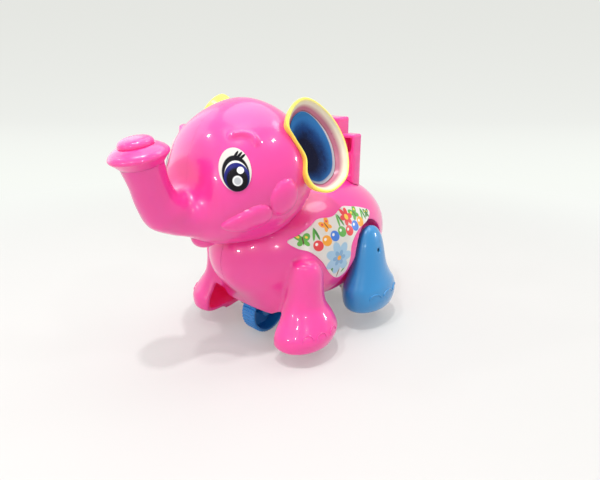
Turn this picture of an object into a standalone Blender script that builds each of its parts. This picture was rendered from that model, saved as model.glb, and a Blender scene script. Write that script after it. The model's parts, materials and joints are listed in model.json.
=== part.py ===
"""Pull-along elephant toy: moulded half shells on a drive wheel, with two swinging hind legs.

X runs to the elephant's left, Y to its tail and Z up from the floor it stands on. Metres.
"""
from math import acos, cos, pi, radians, sin, tan

import bmesh
import bpy
import numpy as np
from mathutils import Matrix, Vector

# Walls, clearances and facets
WALL = 0.0018
GAP = 0.0003
MERGE = 0.000001
FACETS = 18
SCREW_FACETS = 12
EGG_SEGMENTS = 28
EGG_RINGS = 16
HEAD_POINTS = 28
HEAD_SAMPLES = 25
LEG_SAMPLES = 14
ARCH_POINTS = 15
SHARP_EDGE = radians(35.0)
REACH = 0.0800

# Body egg: half sizes, centre and the height of its open underside
BODY_HALF = (0.0380, 0.0588, 0.0336)
BODY_Y = 0.0234
BODY_Z = 0.0462
BELLY_Z = 0.0220

# Head ball. Its sections fan round from the face to the back of the head:
# angle of the top point, angle of the bottom point, swell of the jaw, share of the full width
HEAD_HALF = (0.0341, 0.0312, 0.0327)
HEAD_Y = -0.0192
HEAD_Z = 0.0890
FACE_SECTIONS = (
    (2.0, 34.0, 1.31, 0.40),
    (20.0, 43.7, 1.22, 0.63),
    (49.5, 57.8, 1.11, 0.84),
    (90.0, 90.0, 1.00, 1.00),
)
NAPE_ANGLES = (123.0, 146.0, 165.0, 180.0)

# Lower lip under the trunk's root: half sizes and its place (y, z)
LIP_HALF = (0.0100, 0.0085, 0.0052)
LIP_PLACE = (-0.0445, 0.0630)

# Trunk: centre of each section (y, z) from the end to the root, and the turn of each in degrees
TRUNK_RADIUS = 0.0084
TRUNK_ROOT_SWELL = 1.10
TRUNK_PATH = (
    (-0.0699, 0.0986), (-0.0684, 0.0910), (-0.0661, 0.0841), (-0.0620, 0.0788), (-0.0571, 0.0765),
)
TRUNK_TURNS = (11.0, 11.0, 17.0, 38.0, 67.0)

# Trunk tip: flange, button and the spigot that plugs into the trunk.
# Each profile gives shares of the radius and of the height
FLANGE_RADIUS = 0.0117
FLANGE_HEIGHT = 0.0062
BUTTON_RADIUS = 0.0073
BUTTON_HEIGHT = 0.0052
BUTTON_PROFILE = ((0.0, 1.0), (0.60, 0.99), (0.86, 0.90), (0.98, 0.70), (1.0, 0.10))
FLANGE_PROFILE = ((0.86, 1.0), (0.97, 0.90), (1.0, 0.74), (0.96, 0.60))
SPIGOT_LENGTH = 0.0050

# Front legs, moulded on the body: height, x, y, half width, half length of each section
FRONT_LEG = (
    (0.0067, 0.0311, -0.0123, 0.0107, 0.0129),
    (0.0076, 0.0311, -0.0122, 0.0124, 0.0151),
    (0.0102, 0.0313, -0.0116, 0.0140, 0.0167),
    (0.0150, 0.0318, -0.0107, 0.0145, 0.0170),
    (0.0205, 0.0310, -0.0098, 0.0129, 0.0143),
    (0.0265, 0.0298, -0.0096, 0.0103, 0.0113),
    (0.0330, 0.0298, -0.0095, 0.0093, 0.0097),
    (0.0400, 0.0301, -0.0096, 0.0088, 0.0090),
    (0.0450, 0.0305, -0.0102, 0.0075, 0.0076),
    (0.0484, 0.0308, -0.0112, 0.0047, 0.0047),
    (0.0500, 0.0309, -0.0117, 0.0010, 0.0010),
)
FRONT_LEG_INNER_X = 0.0253

# Chest between the front legs, down to a level edge: height, half width, reach forward
CHEST = (
    (0.0190, 0.0290, 0.0205),
    (0.0240, 0.0290, 0.0220),
    (0.0300, 0.0275, 0.0230),
    (0.0380, 0.0220, 0.0220),
)
CHEST_SQUARENESS = 3.0

# Hind legs, swinging on a steel axle: sections as for the front legs
HIND_LEG = (
    (0.0092, 0.0372, 0.0371, 0.0074, 0.0121),
    (0.0102, 0.0372, 0.0371, 0.0094, 0.0148),
    (0.0130, 0.0372, 0.0368, 0.0110, 0.0176),
    (0.0175, 0.0372, 0.0368, 0.0119, 0.0188),
    (0.0230, 0.0370, 0.0366, 0.0114, 0.0185),
    (0.0280, 0.0368, 0.0360, 0.0098, 0.0156),
    (0.0340, 0.0365, 0.0359, 0.0082, 0.0126),
    (0.0430, 0.0358, 0.0370, 0.0064, 0.0104),
    (0.0490, 0.0352, 0.0378, 0.0050, 0.0084),
    (0.0536, 0.0348, 0.0380, 0.0028, 0.0049),
    (0.0552, 0.0346, 0.0378, 0.0008, 0.0010),
)
HIND_LEG_INNER_X = 0.0275
HIND_PIVOT = (0.0365, 0.0430)
HIND_BOSS_RADIUS = 0.0042
RECESS_X = 0.0265
RECESS_RADIUS = 0.0152
RECESS_FLARE = 0.0255
LEG_AXLE_HALF = 0.0410

# Shafts and screws
SHAFT_RADIUS = 0.0015
SCREW_RADIUS = 0.0013
SCREW_HEAD_RADIUS = 0.0026
SCREW_HEAD_HEIGHT = 0.0014

# Screws across the two body shells: (y, z) of each
SHELL_SCREWS = ((0.0145, 0.0705), (0.0640, 0.0560), (-0.0200, 0.0420))
SHELL_BOSS_RADIUS = 0.0044
SHELL_SCREW_SEAT = 0.0060
SHELL_SCREW_LENGTH = 0.0140

# Base plate across the belly, with a window for the drive and two ears for the rear axle
PLATE_MARGIN = (0.0023, 0.0014)
PLATE_Z = 0.0240
PLATE_THICK = 0.0020
WINDOW_X = (-0.0300, 0.0058)
WINDOW_Y = (-0.0132, 0.0182)
FRONT_SCREW_INSET = 0.0041
FRONT_SCREW_Y = 0.0210
REAR_SCREW_X = 0.0130
REAR_SCREW_INSET = 0.0163
LUG_HALF = 0.0036
LUG_HEIGHT = 0.0060
PLATE_SCREW_LENGTH = 0.0060

# Rear wheels
REAR_AXLE_INSET = 0.0096
REAR_WHEEL_RADIUS = 0.0085
REAR_WHEEL_WIDTH = 0.0056
REAR_WHEEL_X = 0.0150
REAR_EAR_X = (0.0075, 0.0100)
REAR_EAR_HALF = 0.0031

# Drive wheel
WHEEL_RADIUS = 0.0122
WHEEL_WIDTH = 0.0092
WHEEL_Y = -0.0082
WHEEL_RIM = 0.0018
WHEEL_WEB = 0.0018
WHEEL_HUB_RADIUS = 0.0036
RIB_COUNT = 40
RIB_DEPTH = 0.0004
AXLE_END_X = 0.0010

# Gear pair between the drive axle and the line spool
MODULE = 0.0010
PINION_TEETH = 14
SPOOL_TEETH = 28
PRESSURE_ANGLE = radians(20.0)
ADDENDUM = 0.80
DEDENDUM = 1.15
BACKLASH = 0.00025
GEAR_WIDTH = 0.0028
SPOOL_BEARING = radians(60.0)
SPOOL_RADIUS = 0.0080
SPOOL_CORE_RADIUS = 0.0050
SPOOL_FLANGE = 0.0008
SPOOL_WIDTH = 0.0036

# Gear plates either side of the gears, with the line spool and its spiral spring outside them
GEAR_PLATE_THICK = 0.0015
GEAR_PLATE_X = -0.0057
PLATE_LOBES = (0.0034, 0.0050)
PLATE_BAR_Y = (-0.0162, 0.0226)
PLATE_BAR_HEIGHT = 0.0036
SPACER_RADIUS = 0.0009
SPACER_INSET = 0.0010
SPRING_TURNS = 3
SPRING_RADIUS = 0.0075
SPRING_THICK = 0.0005
SPRING_WIDTH = 0.0030
STUB = 0.0012
SLOT_Y = -0.0108

# Bracket on the back: two posts and a taller crest between them
POST_X = (0.0086, 0.0170)
POST_Y = (0.0458, 0.0536)
POST_TOP_Z = 0.1005
CREST_HALF = 0.0066
CREST_Y = (0.0450, 0.0560)
CREST_TOP_Z = 0.1090
WEB_Y = (0.0470, 0.0518)
WEB_TOP_Z = 0.0900
BRACKET_WALL = 0.0014
BRACKET_ROOT_Z = 0.0600
POCKET_Z = (0.0780, 0.0985)
BRACE_THICK = 0.0014

# Ears: rim outline (back, up) round the ear's middle, cup depth at the front and the back edge
EAR_RIM = (
    (-0.0075, 0.0211), (0.0006, 0.0172), (0.0078, 0.0082), (0.0108, -0.0036), (0.0076, -0.0151),
    (-0.0026, -0.0206), (-0.0116, -0.0186), (-0.0153, -0.0123), (-0.0142, -0.0042), (-0.0180, 0.0044),
    (-0.0201, 0.0108), (-0.0152, 0.0181),
)
EAR_MIDDLE = (0.0356, -0.0005, 0.1022)
EAR_AZIMUTH = radians(80.0)
EAR_TILT = radians(19.0)
EAR_LIP = 0.0014
EAR_DEPTH = (0.0026, 0.0056)
EAR_FLOOR_SHRINK = 0.80
EAR_BACK_SHRINK = 0.93
EAR_POINTS = 36
EAR_BOSS_PLACE = (-0.0030, -0.0040)
EAR_BOSS_RADIUS = 0.0060
EAR_BOSS_DEPTH = 0.0180
EAR_STICKER_SHARE = 0.75

# Stickers
STICKER = 0.0003
EYE_HALF = (0.0064, 0.0086)
EYE_PLACE = (0.0215, -0.0425, 0.0957)
SIDE_STICKER_PLACE = (0.0080, 0.0540)
SIDE_STICKER_EDGE = (
    (-0.0239, 0.0043), (-0.0185, 0.0064), (-0.0115, 0.0092), (-0.0055, 0.0116), (0.0030, 0.0114),
    (0.0120, 0.0140), (0.0180, 0.0132), (0.0260, 0.0112), (0.0330, 0.0079), (0.0270, 0.0046),
    (0.0170, 0.0026), (0.0095, -0.0030), (0.0082, -0.0110), (0.0066, -0.0175), (0.0015, -0.0195),
    (-0.0050, -0.0145), (-0.0100, -0.0073), (-0.0155, -0.0016), (-0.0210, 0.0010),
)
STICKER_POINTS = 26
EYE_RINGS = 3
SIDE_POINTS = 38
SIDE_RINGS = 9

# Colour, roughness and metallic value of each finish
FINISHES = {
    "pink": ((0.86, 0.06, 0.35), 0.25, 0.0),
    "blue": ((0.04, 0.30, 0.68), 0.28, 0.0),
    "yellow": ((1.00, 0.70, 0.08), 0.30, 0.0),
    "sticker": ((0.92, 0.92, 0.90), 0.35, 0.0),
    "white": ((0.80, 0.80, 0.78), 0.45, 0.0),
    "steel": ((0.62, 0.62, 0.64), 0.30, 1.0),
}

# Places worked out from the sizes above
SHAFT_HOLE = SHAFT_RADIUS + GAP
SCREW_HOLE = SCREW_RADIUS + GAP
PARTING_X = GAP / 2
PITCH_PINION = MODULE * PINION_TEETH / 2
PITCH_SPOOL = MODULE * SPOOL_TEETH / 2
GEAR_CENTRES = PITCH_PINION + PITCH_SPOOL
WHEEL_Z = WHEEL_RADIUS
SPOOL_Y = WHEEL_Y + GEAR_CENTRES * cos(SPOOL_BEARING)
SPOOL_Z = WHEEL_Z + GEAR_CENTRES * sin(SPOOL_BEARING)
BELLY_SHARE = (1.0 - ((BODY_Z - PLATE_Z) / (BODY_HALF[2] - WALL)) ** 2) ** 0.5
PLATE_HALF = (
    min((BODY_HALF[0] - WALL) * BELLY_SHARE - PLATE_MARGIN[0], RECESS_X - WALL - GAP),
    (BODY_HALF[1] - WALL) * BELLY_SHARE - PLATE_MARGIN[1],
)
PLATE_REAR_Y = BODY_Y + PLATE_HALF[1]
PLATE_SCREWS = (
    (PLATE_HALF[0] - FRONT_SCREW_INSET, FRONT_SCREW_Y),
    (REAR_SCREW_X, PLATE_REAR_Y - REAR_SCREW_INSET),
)
REAR_AXLE_Y = PLATE_REAR_Y - REAR_AXLE_INSET
REAR_AXLE_Z = REAR_WHEEL_RADIUS
PLATE_TOP_Z = PLATE_Z + PLATE_THICK
GEAR_X = GEAR_PLATE_X - GEAR_PLATE_THICK - GAP - GEAR_WIDTH / 2
FAR_PLATE_X = GEAR_X - GEAR_WIDTH / 2 - GAP
SPOOL_X = FAR_PLATE_X - GEAR_PLATE_THICK - GAP - SPOOL_WIDTH / 2
SPRING_X = SPOOL_X - SPOOL_WIDTH / 2 - GAP - SPRING_WIDTH / 2
EAR_FRONT = min(u for u, v in EAR_RIM)
EAR_REAR = max(u for u, v in EAR_RIM)
EAR_TALL = max(abs(v) for u, v in EAR_RIM)

for stale in list(bpy.data.objects):
    bpy.data.objects.remove(stale, do_unlink=True)
PARTS = bpy.data.collections.new("pull_along_elephant")
CUTTERS = bpy.data.collections.new("cutters")
bpy.context.scene.collection.children.link(PARTS)
bpy.context.scene.collection.children.link(CUTTERS)


def paint(obj, finish):
    """Gives a part its own material."""
    colour, roughness, metallic = FINISHES[finish]
    material = bpy.data.materials.new(obj.name)
    material.use_nodes = True
    shader = material.node_tree.nodes["Principled BSDF"]
    shader.inputs["Base Color"].default_value = (*colour, 1.0)
    shader.inputs["Roughness"].default_value = roughness
    shader.inputs["Metallic"].default_value = metallic
    obj.data.materials.append(material)


def place(obj, finish):
    """Links a part with its finish, or a cutter when it has none."""
    if finish:
        paint(obj, finish)
        PARTS.objects.link(obj)
    else:
        obj.hide_render = True
        obj.display_type = "WIRE"
        CUTTERS.objects.link(obj)
    return obj


def solid(name, shape, finish=None):
    """Makes an object of a closed bmesh, with its faces outwards."""
    bmesh.ops.remove_doubles(shape, verts=shape.verts, dist=MERGE)
    bmesh.ops.recalc_face_normals(shape, faces=shape.faces)
    mesh = bpy.data.meshes.new(name)
    shape.to_mesh(mesh)
    shape.free()
    mesh.shade_smooth()
    mesh.set_sharp_from_angle(angle=SHARP_EDGE)
    return place(bpy.data.objects.new(name, mesh), finish)


def loft(name, rings, finish=None, cyclic=False):
    """Skins closed rings of points, and caps both ends or joins the last ring to the first."""
    shape = bmesh.new()
    grid = [[shape.verts.new(point) for point in ring] for ring in rings]
    pairs = list(zip(grid, grid[1:] + grid[:1])) if cyclic else list(zip(grid, grid[1:]))
    for low, high in pairs:
        for j in range(len(low)):
            k = (j + 1) % len(low)
            shape.faces.new((low[j], low[k], high[k], high[j]))
    if not cyclic:
        shape.faces.new(grid[0])
        shape.faces.new(grid[-1])
    return solid(name, shape, finish)


def prism(name, outline, x_low, x_high, finish=None):
    """A plate along X with an outline of (y, z) points."""
    return loft(name, [[(x, y, z) for y, z in outline] for x in (x_low, x_high)], finish)


def box(name, low, high, finish=None):
    """A block between two corners."""
    size = Vector(high) - Vector(low)
    middle = (Vector(high) + Vector(low)) / 2
    shape = bmesh.new()
    bmesh.ops.create_cube(shape, size=1.0, matrix=Matrix.Translation(middle) @ Matrix.Diagonal((*size, 1.0)))
    return solid(name, shape, finish)


def rod(name, axis, centre, radius, finish=None, facets=FACETS):
    """A cylinder along X or Z. Centre gives the two ends along the axis as a pair."""
    low, high = centre[0] if axis == "X" else centre[2]
    middle = (low + high) / 2
    if axis == "X":
        pose = Matrix.Translation((middle, centre[1], centre[2])) @ Matrix.Rotation(pi / 2, 4, "Y")
    else:
        pose = Matrix.Translation((centre[0], centre[1], middle))
    shape = bmesh.new()
    bmesh.ops.create_cone(
        shape, cap_ends=True, segments=facets, radius1=radius, radius2=radius, depth=high - low, matrix=pose
    )
    return solid(name, shape, finish)


def ball(name, half, centre, finish=None):
    """An ellipsoid with its poles at nose and tail."""
    pose = Matrix.Translation(centre) @ Matrix.Diagonal((*half, 1.0)) @ Matrix.Rotation(pi / 2, 4, "X")
    shape = bmesh.new()
    bmesh.ops.create_uvsphere(shape, u_segments=EGG_SEGMENTS, v_segments=EGG_RINGS, radius=1.0, matrix=pose)
    return solid(name, shape, finish)


def egg(name, grow, finish=None):
    """The body's ellipsoid, grown or shrunk all round."""
    return ball(name, [size + grow for size in BODY_HALF], (0.0, BODY_Y, BODY_Z), finish)


def turned(name, profile, finish, closed=False, steps=FACETS):
    """A profile of (radius, height) points turned about the object's own Z with a Screw modifier."""
    shape = bmesh.new()
    points = [shape.verts.new((radius, 0.0, height)) for radius, height in profile]
    for first, second in zip(points, points[1:]):
        shape.edges.new((first, second))
    if closed:
        shape.edges.new((points[-1], points[0]))
    mesh = bpy.data.meshes.new(name)
    shape.to_mesh(mesh)
    shape.free()
    obj = place(bpy.data.objects.new(name, mesh), finish)
    screw = obj.modifiers.new("turn", "SCREW")
    screw.steps = steps
    screw.render_steps = steps
    screw.use_merge_vertices = True
    screw.merge_threshold = MERGE
    screw.use_normal_calculate = not closed
    return obj


def combine(target, tool, operation="DIFFERENCE", folded=False):
    """Cuts, joins or trims one solid with another, which may be folded into itself."""
    modifier = target.modifiers.new(tool.name, "BOOLEAN")
    modifier.operation = operation
    modifier.solver = "EXACT"
    modifier.use_self = folded
    modifier.object = tool


def joint_empty(name, place_at):
    """An empty on a joint's axis, for the pieces that move about it."""
    empty = bpy.data.objects.new(name, None)
    empty.location = place_at
    PARTS.objects.link(empty)
    return empty


def hang(obj, empty):
    """Parents a piece to its joint's empty where it stands."""
    obj.parent = empty
    obj.matrix_parent_inverse = Matrix.Translation(empty.location).inverted()


def curve_through(points, samples, closed=False):
    """Uniform Catmull-Rom curve through the points."""
    rows = np.asarray(points, float)
    if closed:
        spans = len(rows)
        padded = np.vstack([rows[-1:], rows, rows[:2]])
    else:
        spans = len(rows) - 1
        padded = np.vstack([2 * rows[0] - rows[1], rows, 2 * rows[-1] - rows[-2]])
    travel = np.linspace(0.0, spans, samples, endpoint=not closed)
    index = np.minimum(travel.astype(int), spans - 1)
    part = (travel - index)[:, None]
    a, b, c, d = (padded[index + shift] for shift in range(4))
    return b + 0.5 * part * (c - a + part * (2 * a - 5 * b + 4 * c - d + part * (3 * (b - c) + d - a)))


def head_sections(inset):
    """Top point, bottom point and half width of each head section, with the skin moved in by inset."""
    wide, long, tall = (size - inset for size in HEAD_HALF)
    rows = []
    for index, ((y, z), turn) in enumerate(zip(TRUNK_PATH, TRUNK_TURNS)):
        swell = TRUNK_ROOT_SWELL if index == len(TRUNK_PATH) - 1 else 1.0
        reach = TRUNK_RADIUS * swell - inset
        across = Vector((cos(radians(turn)), sin(radians(turn)))) * reach
        rows.append((y + across.x, z + across.y, y - across.x, z - across.y, reach))
    sections = list(FACE_SECTIONS) + [(angle, angle, 1.0, sin(radians(angle))) for angle in NAPE_ANGLES]
    for top, bottom, swell, share in sections:
        upper, lower = radians(top), radians(bottom)
        rows.append((
            HEAD_Y - long * cos(upper), HEAD_Z + tall * sin(upper),
            HEAD_Y - long * swell * cos(lower), HEAD_Z - tall * swell * sin(lower), wide * share,
        ))
    return curve_through(rows, HEAD_SAMPLES)


def head_ring(section, angles, floor_x):
    """Points of one elliptic head section at angles from its top, no nearer the middle than floor_x."""
    top_y, top_z, low_y, low_z, wide = section
    rise, turn = np.cos(angles), np.sin(angles)
    x = floor_x * np.sign(turn + MERGE) + max(wide - floor_x, 0.0) * turn
    y = (top_y + low_y) / 2 + (top_y - low_y) / 2 * rise
    z = (top_z + low_z) / 2 + (top_z - low_z) / 2 * rise
    return np.stack([x, y, z], axis=1)


def head_solid(name, inset):
    """The whole head and trunk as one closed form, for cutting what fits round it."""
    angles = np.linspace(0.0, 2 * pi, HEAD_POINTS, endpoint=False)
    return loft(name, [head_ring(section, angles, 0.0) for section in head_sections(inset)])


def head_shell(name, side):
    """Half of the hollow head and trunk, flat along the parting plane and open at the trunk's end."""
    down = np.linspace(0.0, pi, HEAD_POINTS // 2 + 1)
    rings = []
    for outer, inner in zip(head_sections(0.0), head_sections(WALL)):
        ring = np.vstack([head_ring(outer, down, PARTING_X), head_ring(inner, down[::-1], PARTING_X)])
        rings.append(ring * (side, 1.0, 1.0))
    shell = loft(name, rings, "pink")
    lip = ball(name + "_lip", LIP_HALF, (0.0, *LIP_PLACE))
    near, far = sorted((side * PARTING_X, side * REACH))
    combine(lip, box(name + "_lip_half", (near, -REACH, 0.0), (far, REACH, REACH)), "INTERSECT")
    combine(shell, lip, "UNION")
    return shell


def leg_solid(name, sections, side, inset=0.0, finish=None):
    """A leg as a loft of elliptic sections, with its skin moved in by inset."""
    turn = np.linspace(0.0, 2 * pi, FACETS, endpoint=False)
    low, high = sections[0][0] + inset, sections[-1][0] - inset
    rings = []
    for height, x, y, half_x, half_y in curve_through(sections, LEG_SAMPLES):
        if low - MERGE <= height <= high + MERGE:
            across = side * (x + (half_x - inset) * np.cos(turn))
            along = y + (half_y - inset) * np.sin(turn)
            rings.append(np.stack([across, along, np.full(FACETS, height)], axis=1))
    return loft(name, rings, finish)


def chest_solid(name, inset=0.0):
    """The chest as a loft of rounded oblongs, cut off behind the front legs and open below when inset."""
    turn = np.linspace(0.0, 2 * pi, 2 * FACETS, endpoint=False)
    power = 2.0 / CHEST_SQUARENESS
    across = np.sign(np.cos(turn)) * np.abs(np.cos(turn)) ** power
    along = np.sign(np.sin(turn)) * np.abs(np.sin(turn)) ** power
    sections = curve_through(CHEST, len(CHEST) + 2)
    sections[0, 0] -= inset
    sections[-1, 0] -= inset
    rings = []
    for height, half_x, half_y in sections:
        level = np.full(len(turn), height)
        rings.append(np.stack([(half_x - inset) * across, (half_y - inset) * along, level], axis=1))
    chest = loft(name, rings)
    combine(chest, box(name + "_rear", (-REACH, -inset, 0.0), (REACH, REACH, REACH)))
    return chest


def recess_outline(grow):
    """Arch over the hind leg's axle that flares out down to below the belly."""
    y, z = HIND_PIVOT
    radius = RECESS_RADIUS + grow
    foot = BELLY_Z - WALL
    angles = np.linspace(0.0, pi, ARCH_POINTS)
    arch = [(y + radius * cos(angle), z + radius * sin(angle)) for angle in angles]
    return [(y + RECESS_FLARE + grow, foot)] + arch + [(y - RECESS_FLARE - grow, foot)]


def hind_recess(name, side, grow):
    """Pocket in the body's side for a hind leg, or the same pocket with its walls."""
    inner = RECESS_X - grow
    return prism(name, recess_outline(grow), side * inner, side * REACH)


def screw(name, axis, place_at, seat, length):
    """A pan-head screw along X or Z, its head below a seat on that axis."""
    under = seat - GAP
    spans = {
        "shank": (under - SCREW_HEAD_HEIGHT / 2, under + length),
        "head": (under - SCREW_HEAD_HEIGHT, under),
    }
    centres = {
        part: (span, *place_at) if axis == "X" else (*place_at, span) for part, span in spans.items()
    }
    body = rod(name, axis, centres["shank"], SCREW_RADIUS, "steel", SCREW_FACETS)
    head = rod(name + "_head", axis, centres["head"], SCREW_HEAD_RADIUS, facets=SCREW_FACETS)
    combine(body, head, "UNION")
    return body


def leg_opening(name, side, inset=0.0):
    """Block that opens the inner side of a front leg below the belly."""
    near, far = sorted((0.0, side * (FRONT_LEG_INNER_X - inset)))
    return box(name, (near, -REACH, -REACH), (far, REACH, BELLY_Z - inset))


def body_cavity(side, word):
    """The hollow of one body shell, less the walls, bosses and lugs that stand in it."""
    cavity = egg(f"cavity_{word}", -WALL)
    hollow = leg_solid(f"front_leg_hollow_{word}", FRONT_LEG, side, WALL)
    combine(hollow, leg_opening(f"hollow_opening_{word}", side, GAP))
    combine(cavity, hollow, "UNION")
    combine(cavity, chest_solid(f"chest_hollow_{word}", WALL), "UNION")
    combine(cavity, hind_recess(f"recess_wall_{word}", side, WALL))
    combine(cavity, head_solid(f"neck_wall_{word}", -GAP - WALL))
    for index, (y, z) in enumerate(SHELL_SCREWS):
        ends = tuple(sorted((-side * WALL, side * REACH)))
        combine(cavity, rod(f"boss_{word}_{index}", "X", (ends, y, z), SHELL_BOSS_RADIUS))
    for index, (x, y) in enumerate(PLATE_SCREWS):
        near, far = sorted((side * (x - LUG_HALF), side * REACH))
        base = PLATE_TOP_Z + GAP
        lug = box(f"lug_{word}_{index}", (near, y - LUG_HALF, base), (far, y + LUG_HALF, base + LUG_HEIGHT))
        combine(cavity, lug)
    return cavity


def body_shell(name, side):
    """One moulded half of the body with its front leg."""
    word = name.rsplit("_", 1)[1]
    shell = egg(name, 0.0, "pink")
    near, far = sorted((side * PARTING_X, side * REACH))
    combine(shell, box(f"half_{word}", (near, -2 * REACH, BELLY_Z), (far, 2 * REACH, 2 * REACH)), "INTERSECT")
    leg = leg_solid(f"front_leg_{word}", FRONT_LEG, side)
    combine(leg, leg_opening(f"leg_opening_{word}", side))
    combine(shell, leg, "UNION")
    chest = chest_solid(f"chest_{word}")
    combine(chest, box(f"chest_half_{word}", (near, -REACH, 0.0), (far, REACH, REACH)), "INTERSECT")
    combine(shell, chest, "UNION")
    combine(shell, hind_recess(f"recess_{word}", side, 0.0))
    combine(shell, head_solid(f"neck_seat_{word}", -GAP))
    combine(shell, body_cavity(side, word), folded=True)
    for index, (y, z) in enumerate(SHELL_SCREWS):
        if side > 0:
            depth = SHELL_SCREW_LENGTH - SHELL_SCREW_SEAT + WALL
            combine(shell, rod(f"pilot_{index}", "X", ((-WALL, depth), y, z), SCREW_HOLE))
        else:
            hole = rod(f"clearance_{index}", "X", ((-SHELL_SCREW_SEAT - WALL, WALL), y, z), SCREW_HOLE)
            ends = (-REACH, -SHELL_SCREW_SEAT)
            well = rod(f"well_{index}", "X", (ends, y, z), SCREW_HEAD_RADIUS + 2 * GAP)
            combine(shell, hole)
            combine(shell, well)
    for index, (x, y) in enumerate(PLATE_SCREWS):
        depth = (PLATE_TOP_Z, PLATE_TOP_Z + PLATE_SCREW_LENGTH - PLATE_THICK + GAP)
        combine(shell, rod(f"lug_pilot_{word}_{index}", "Z", (side * x, y, depth), SCREW_HOLE))
    y, z = HIND_PIVOT
    through = tuple(sorted((side * (RECESS_X - 2 * WALL), side * (RECESS_X + WALL))))
    combine(shell, rod(f"axle_hole_{word}", "X", (through, y, z), SHAFT_HOLE))
    reach = WHEEL_WIDTH / 2 + 2 * GAP
    wheel_room = ((-reach, reach), WHEEL_Y, WHEEL_Z)
    combine(shell, rod(f"wheel_slot_{word}", "X", wheel_room, WHEEL_RADIUS + 2 * GAP))
    far_side = FAR_PLATE_X - GEAR_PLATE_THICK - 2 * GAP
    combine(shell, box(f"drive_slot_{word}", (far_side, SLOT_Y, 0.0), (reach, BODY_Y, PLATE_TOP_Z)))
    return shell


def ear_point(side, back, up, depth):
    """A point of the ear's own plane, at a depth behind its rim."""
    face = Vector((sin(EAR_AZIMUTH) * cos(EAR_TILT), -cos(EAR_AZIMUTH) * cos(EAR_TILT), sin(EAR_TILT)))
    rearward = Vector((cos(EAR_AZIMUTH), sin(EAR_AZIMUTH), 0.0))
    upward = face.cross(rearward)
    point = Vector(EAR_MIDDLE) + rearward * back + upward * up - face * depth
    return (side * point.x, point.y, point.z)


def ear_depth(back):
    """Depth of the ear's floor, from its front edge to its back edge."""
    return EAR_DEPTH[0] + (EAR_DEPTH[1] - EAR_DEPTH[0]) * (back - EAR_FRONT) / (EAR_REAR - EAR_FRONT)


def ear_ring(side, share, extra):
    """The rim outline shrunk to a share of itself on a plane extra deeper than the floor."""
    outline = share * curve_through(EAR_RIM, EAR_POINTS, closed=True)
    return [ear_point(side, u, v, ear_depth(u) + extra) for u, v in outline]


def ear_rim(side, share):
    """The rim outline shrunk to a share of itself on the rim's own plane."""
    return [ear_point(side, u, v, 0.0) for u, v in share * curve_through(EAR_RIM, EAR_POINTS, closed=True)]


def ear(name, side):
    """A cupped ear on a boss shaped to the head."""
    rings = [
        ear_ring(side, EAR_BACK_SHRINK, WALL), ear_rim(side, 1.0),
        ear_rim(side, 1.0 - EAR_LIP / EAR_TALL), ear_ring(side, EAR_FLOOR_SHRINK, 0.0),
    ]
    cup = loft(name, rings, "yellow")
    turn = np.linspace(0.0, 2 * pi, FACETS, endpoint=False)
    u, v = EAR_BOSS_PLACE
    rings = [
        [ear_point(side, u + EAR_BOSS_RADIUS * cos(a), v + EAR_BOSS_RADIUS * sin(a), depth) for a in turn]
        for depth in (ear_depth(u) + WALL / 2, EAR_BOSS_DEPTH)
    ]
    combine(cup, loft(name + "_boss", rings), "UNION")
    combine(cup, head_solid(name + "_seat", -GAP))
    return cup


def ear_sticker(name, side):
    """A thin label on the ear's floor."""
    rings = [ear_ring(side, EAR_STICKER_SHARE, -GAP - lift) for lift in (0.0, STICKER)]
    return loft(name, rings, "sticker")


def draped(name, outline, count, pose, form):
    """A label of polar rings inside an outline, laid on a form along its own Z and thickened."""
    shape = bmesh.new()
    hub = shape.verts.new((0.0, 0.0, 0.0))
    rows = []
    for ring in range(1, count + 1):
        share = ring / count
        rows.append([shape.verts.new((x * share, y * share, 0.0)) for x, y in outline])
    for j in range(len(outline)):
        k = (j + 1) % len(outline)
        shape.faces.new((hub, rows[0][j], rows[0][k]))
        for low, high in zip(rows, rows[1:]):
            shape.faces.new((low[j], high[j], high[k], low[k]))
    label = solid(name, shape, "sticker")
    label.matrix_world = pose
    drape = label.modifiers.new("drape", "SHRINKWRAP")
    drape.wrap_method = "PROJECT"
    drape.wrap_mode = "ABOVE_SURFACE"
    drape.use_project_z = True
    drape.use_negative_direction = True
    drape.use_positive_direction = True
    drape.offset = GAP + STICKER / 2
    drape.target = form
    skin = label.modifiers.new("skin", "SOLIDIFY")
    skin.thickness = STICKER
    skin.offset = 0.0
    return label


def facing(place_at, out, up):
    """A pose at a place with its Z outwards and its Y towards up."""
    z_axis = Vector(out).normalized()
    x_axis = Vector(up).cross(z_axis).normalized()
    y_axis = z_axis.cross(x_axis)
    turn = Matrix((x_axis, y_axis, z_axis)).transposed().to_4x4()
    return Matrix.Translation(place_at) @ turn


def eye_sticker(name, side):
    """An oval eye label on the face."""
    x, y, z = EYE_PLACE
    centre = Vector((side * x, y, z))
    out = centre - Vector((0.0, HEAD_Y, HEAD_Z))
    angles = np.linspace(0.0, 2 * pi, STICKER_POINTS, endpoint=False)
    outline = [(EYE_HALF[0] * cos(a), EYE_HALF[1] * sin(a)) for a in angles]
    form = head_solid(name + "_form", 0.0)
    return draped(name, outline, EYE_RINGS, facing(centre, out, (0.0, 0.0, 1.0)), form)


def side_sticker(name, side):
    """A label on the flank, between the front leg and the hind leg's arch."""
    y, z = SIDE_STICKER_PLACE
    outline = [(side * u, v) for u, v in curve_through(SIDE_STICKER_EDGE, SIDE_POINTS, closed=True)]
    pose = facing((side * BODY_HALF[0], y, z), (side, 0.0, 0.0), (0.0, 0.0, 1.0))
    return draped(name, outline, SIDE_RINGS, pose, egg(name + "_form", 0.0))


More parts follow.
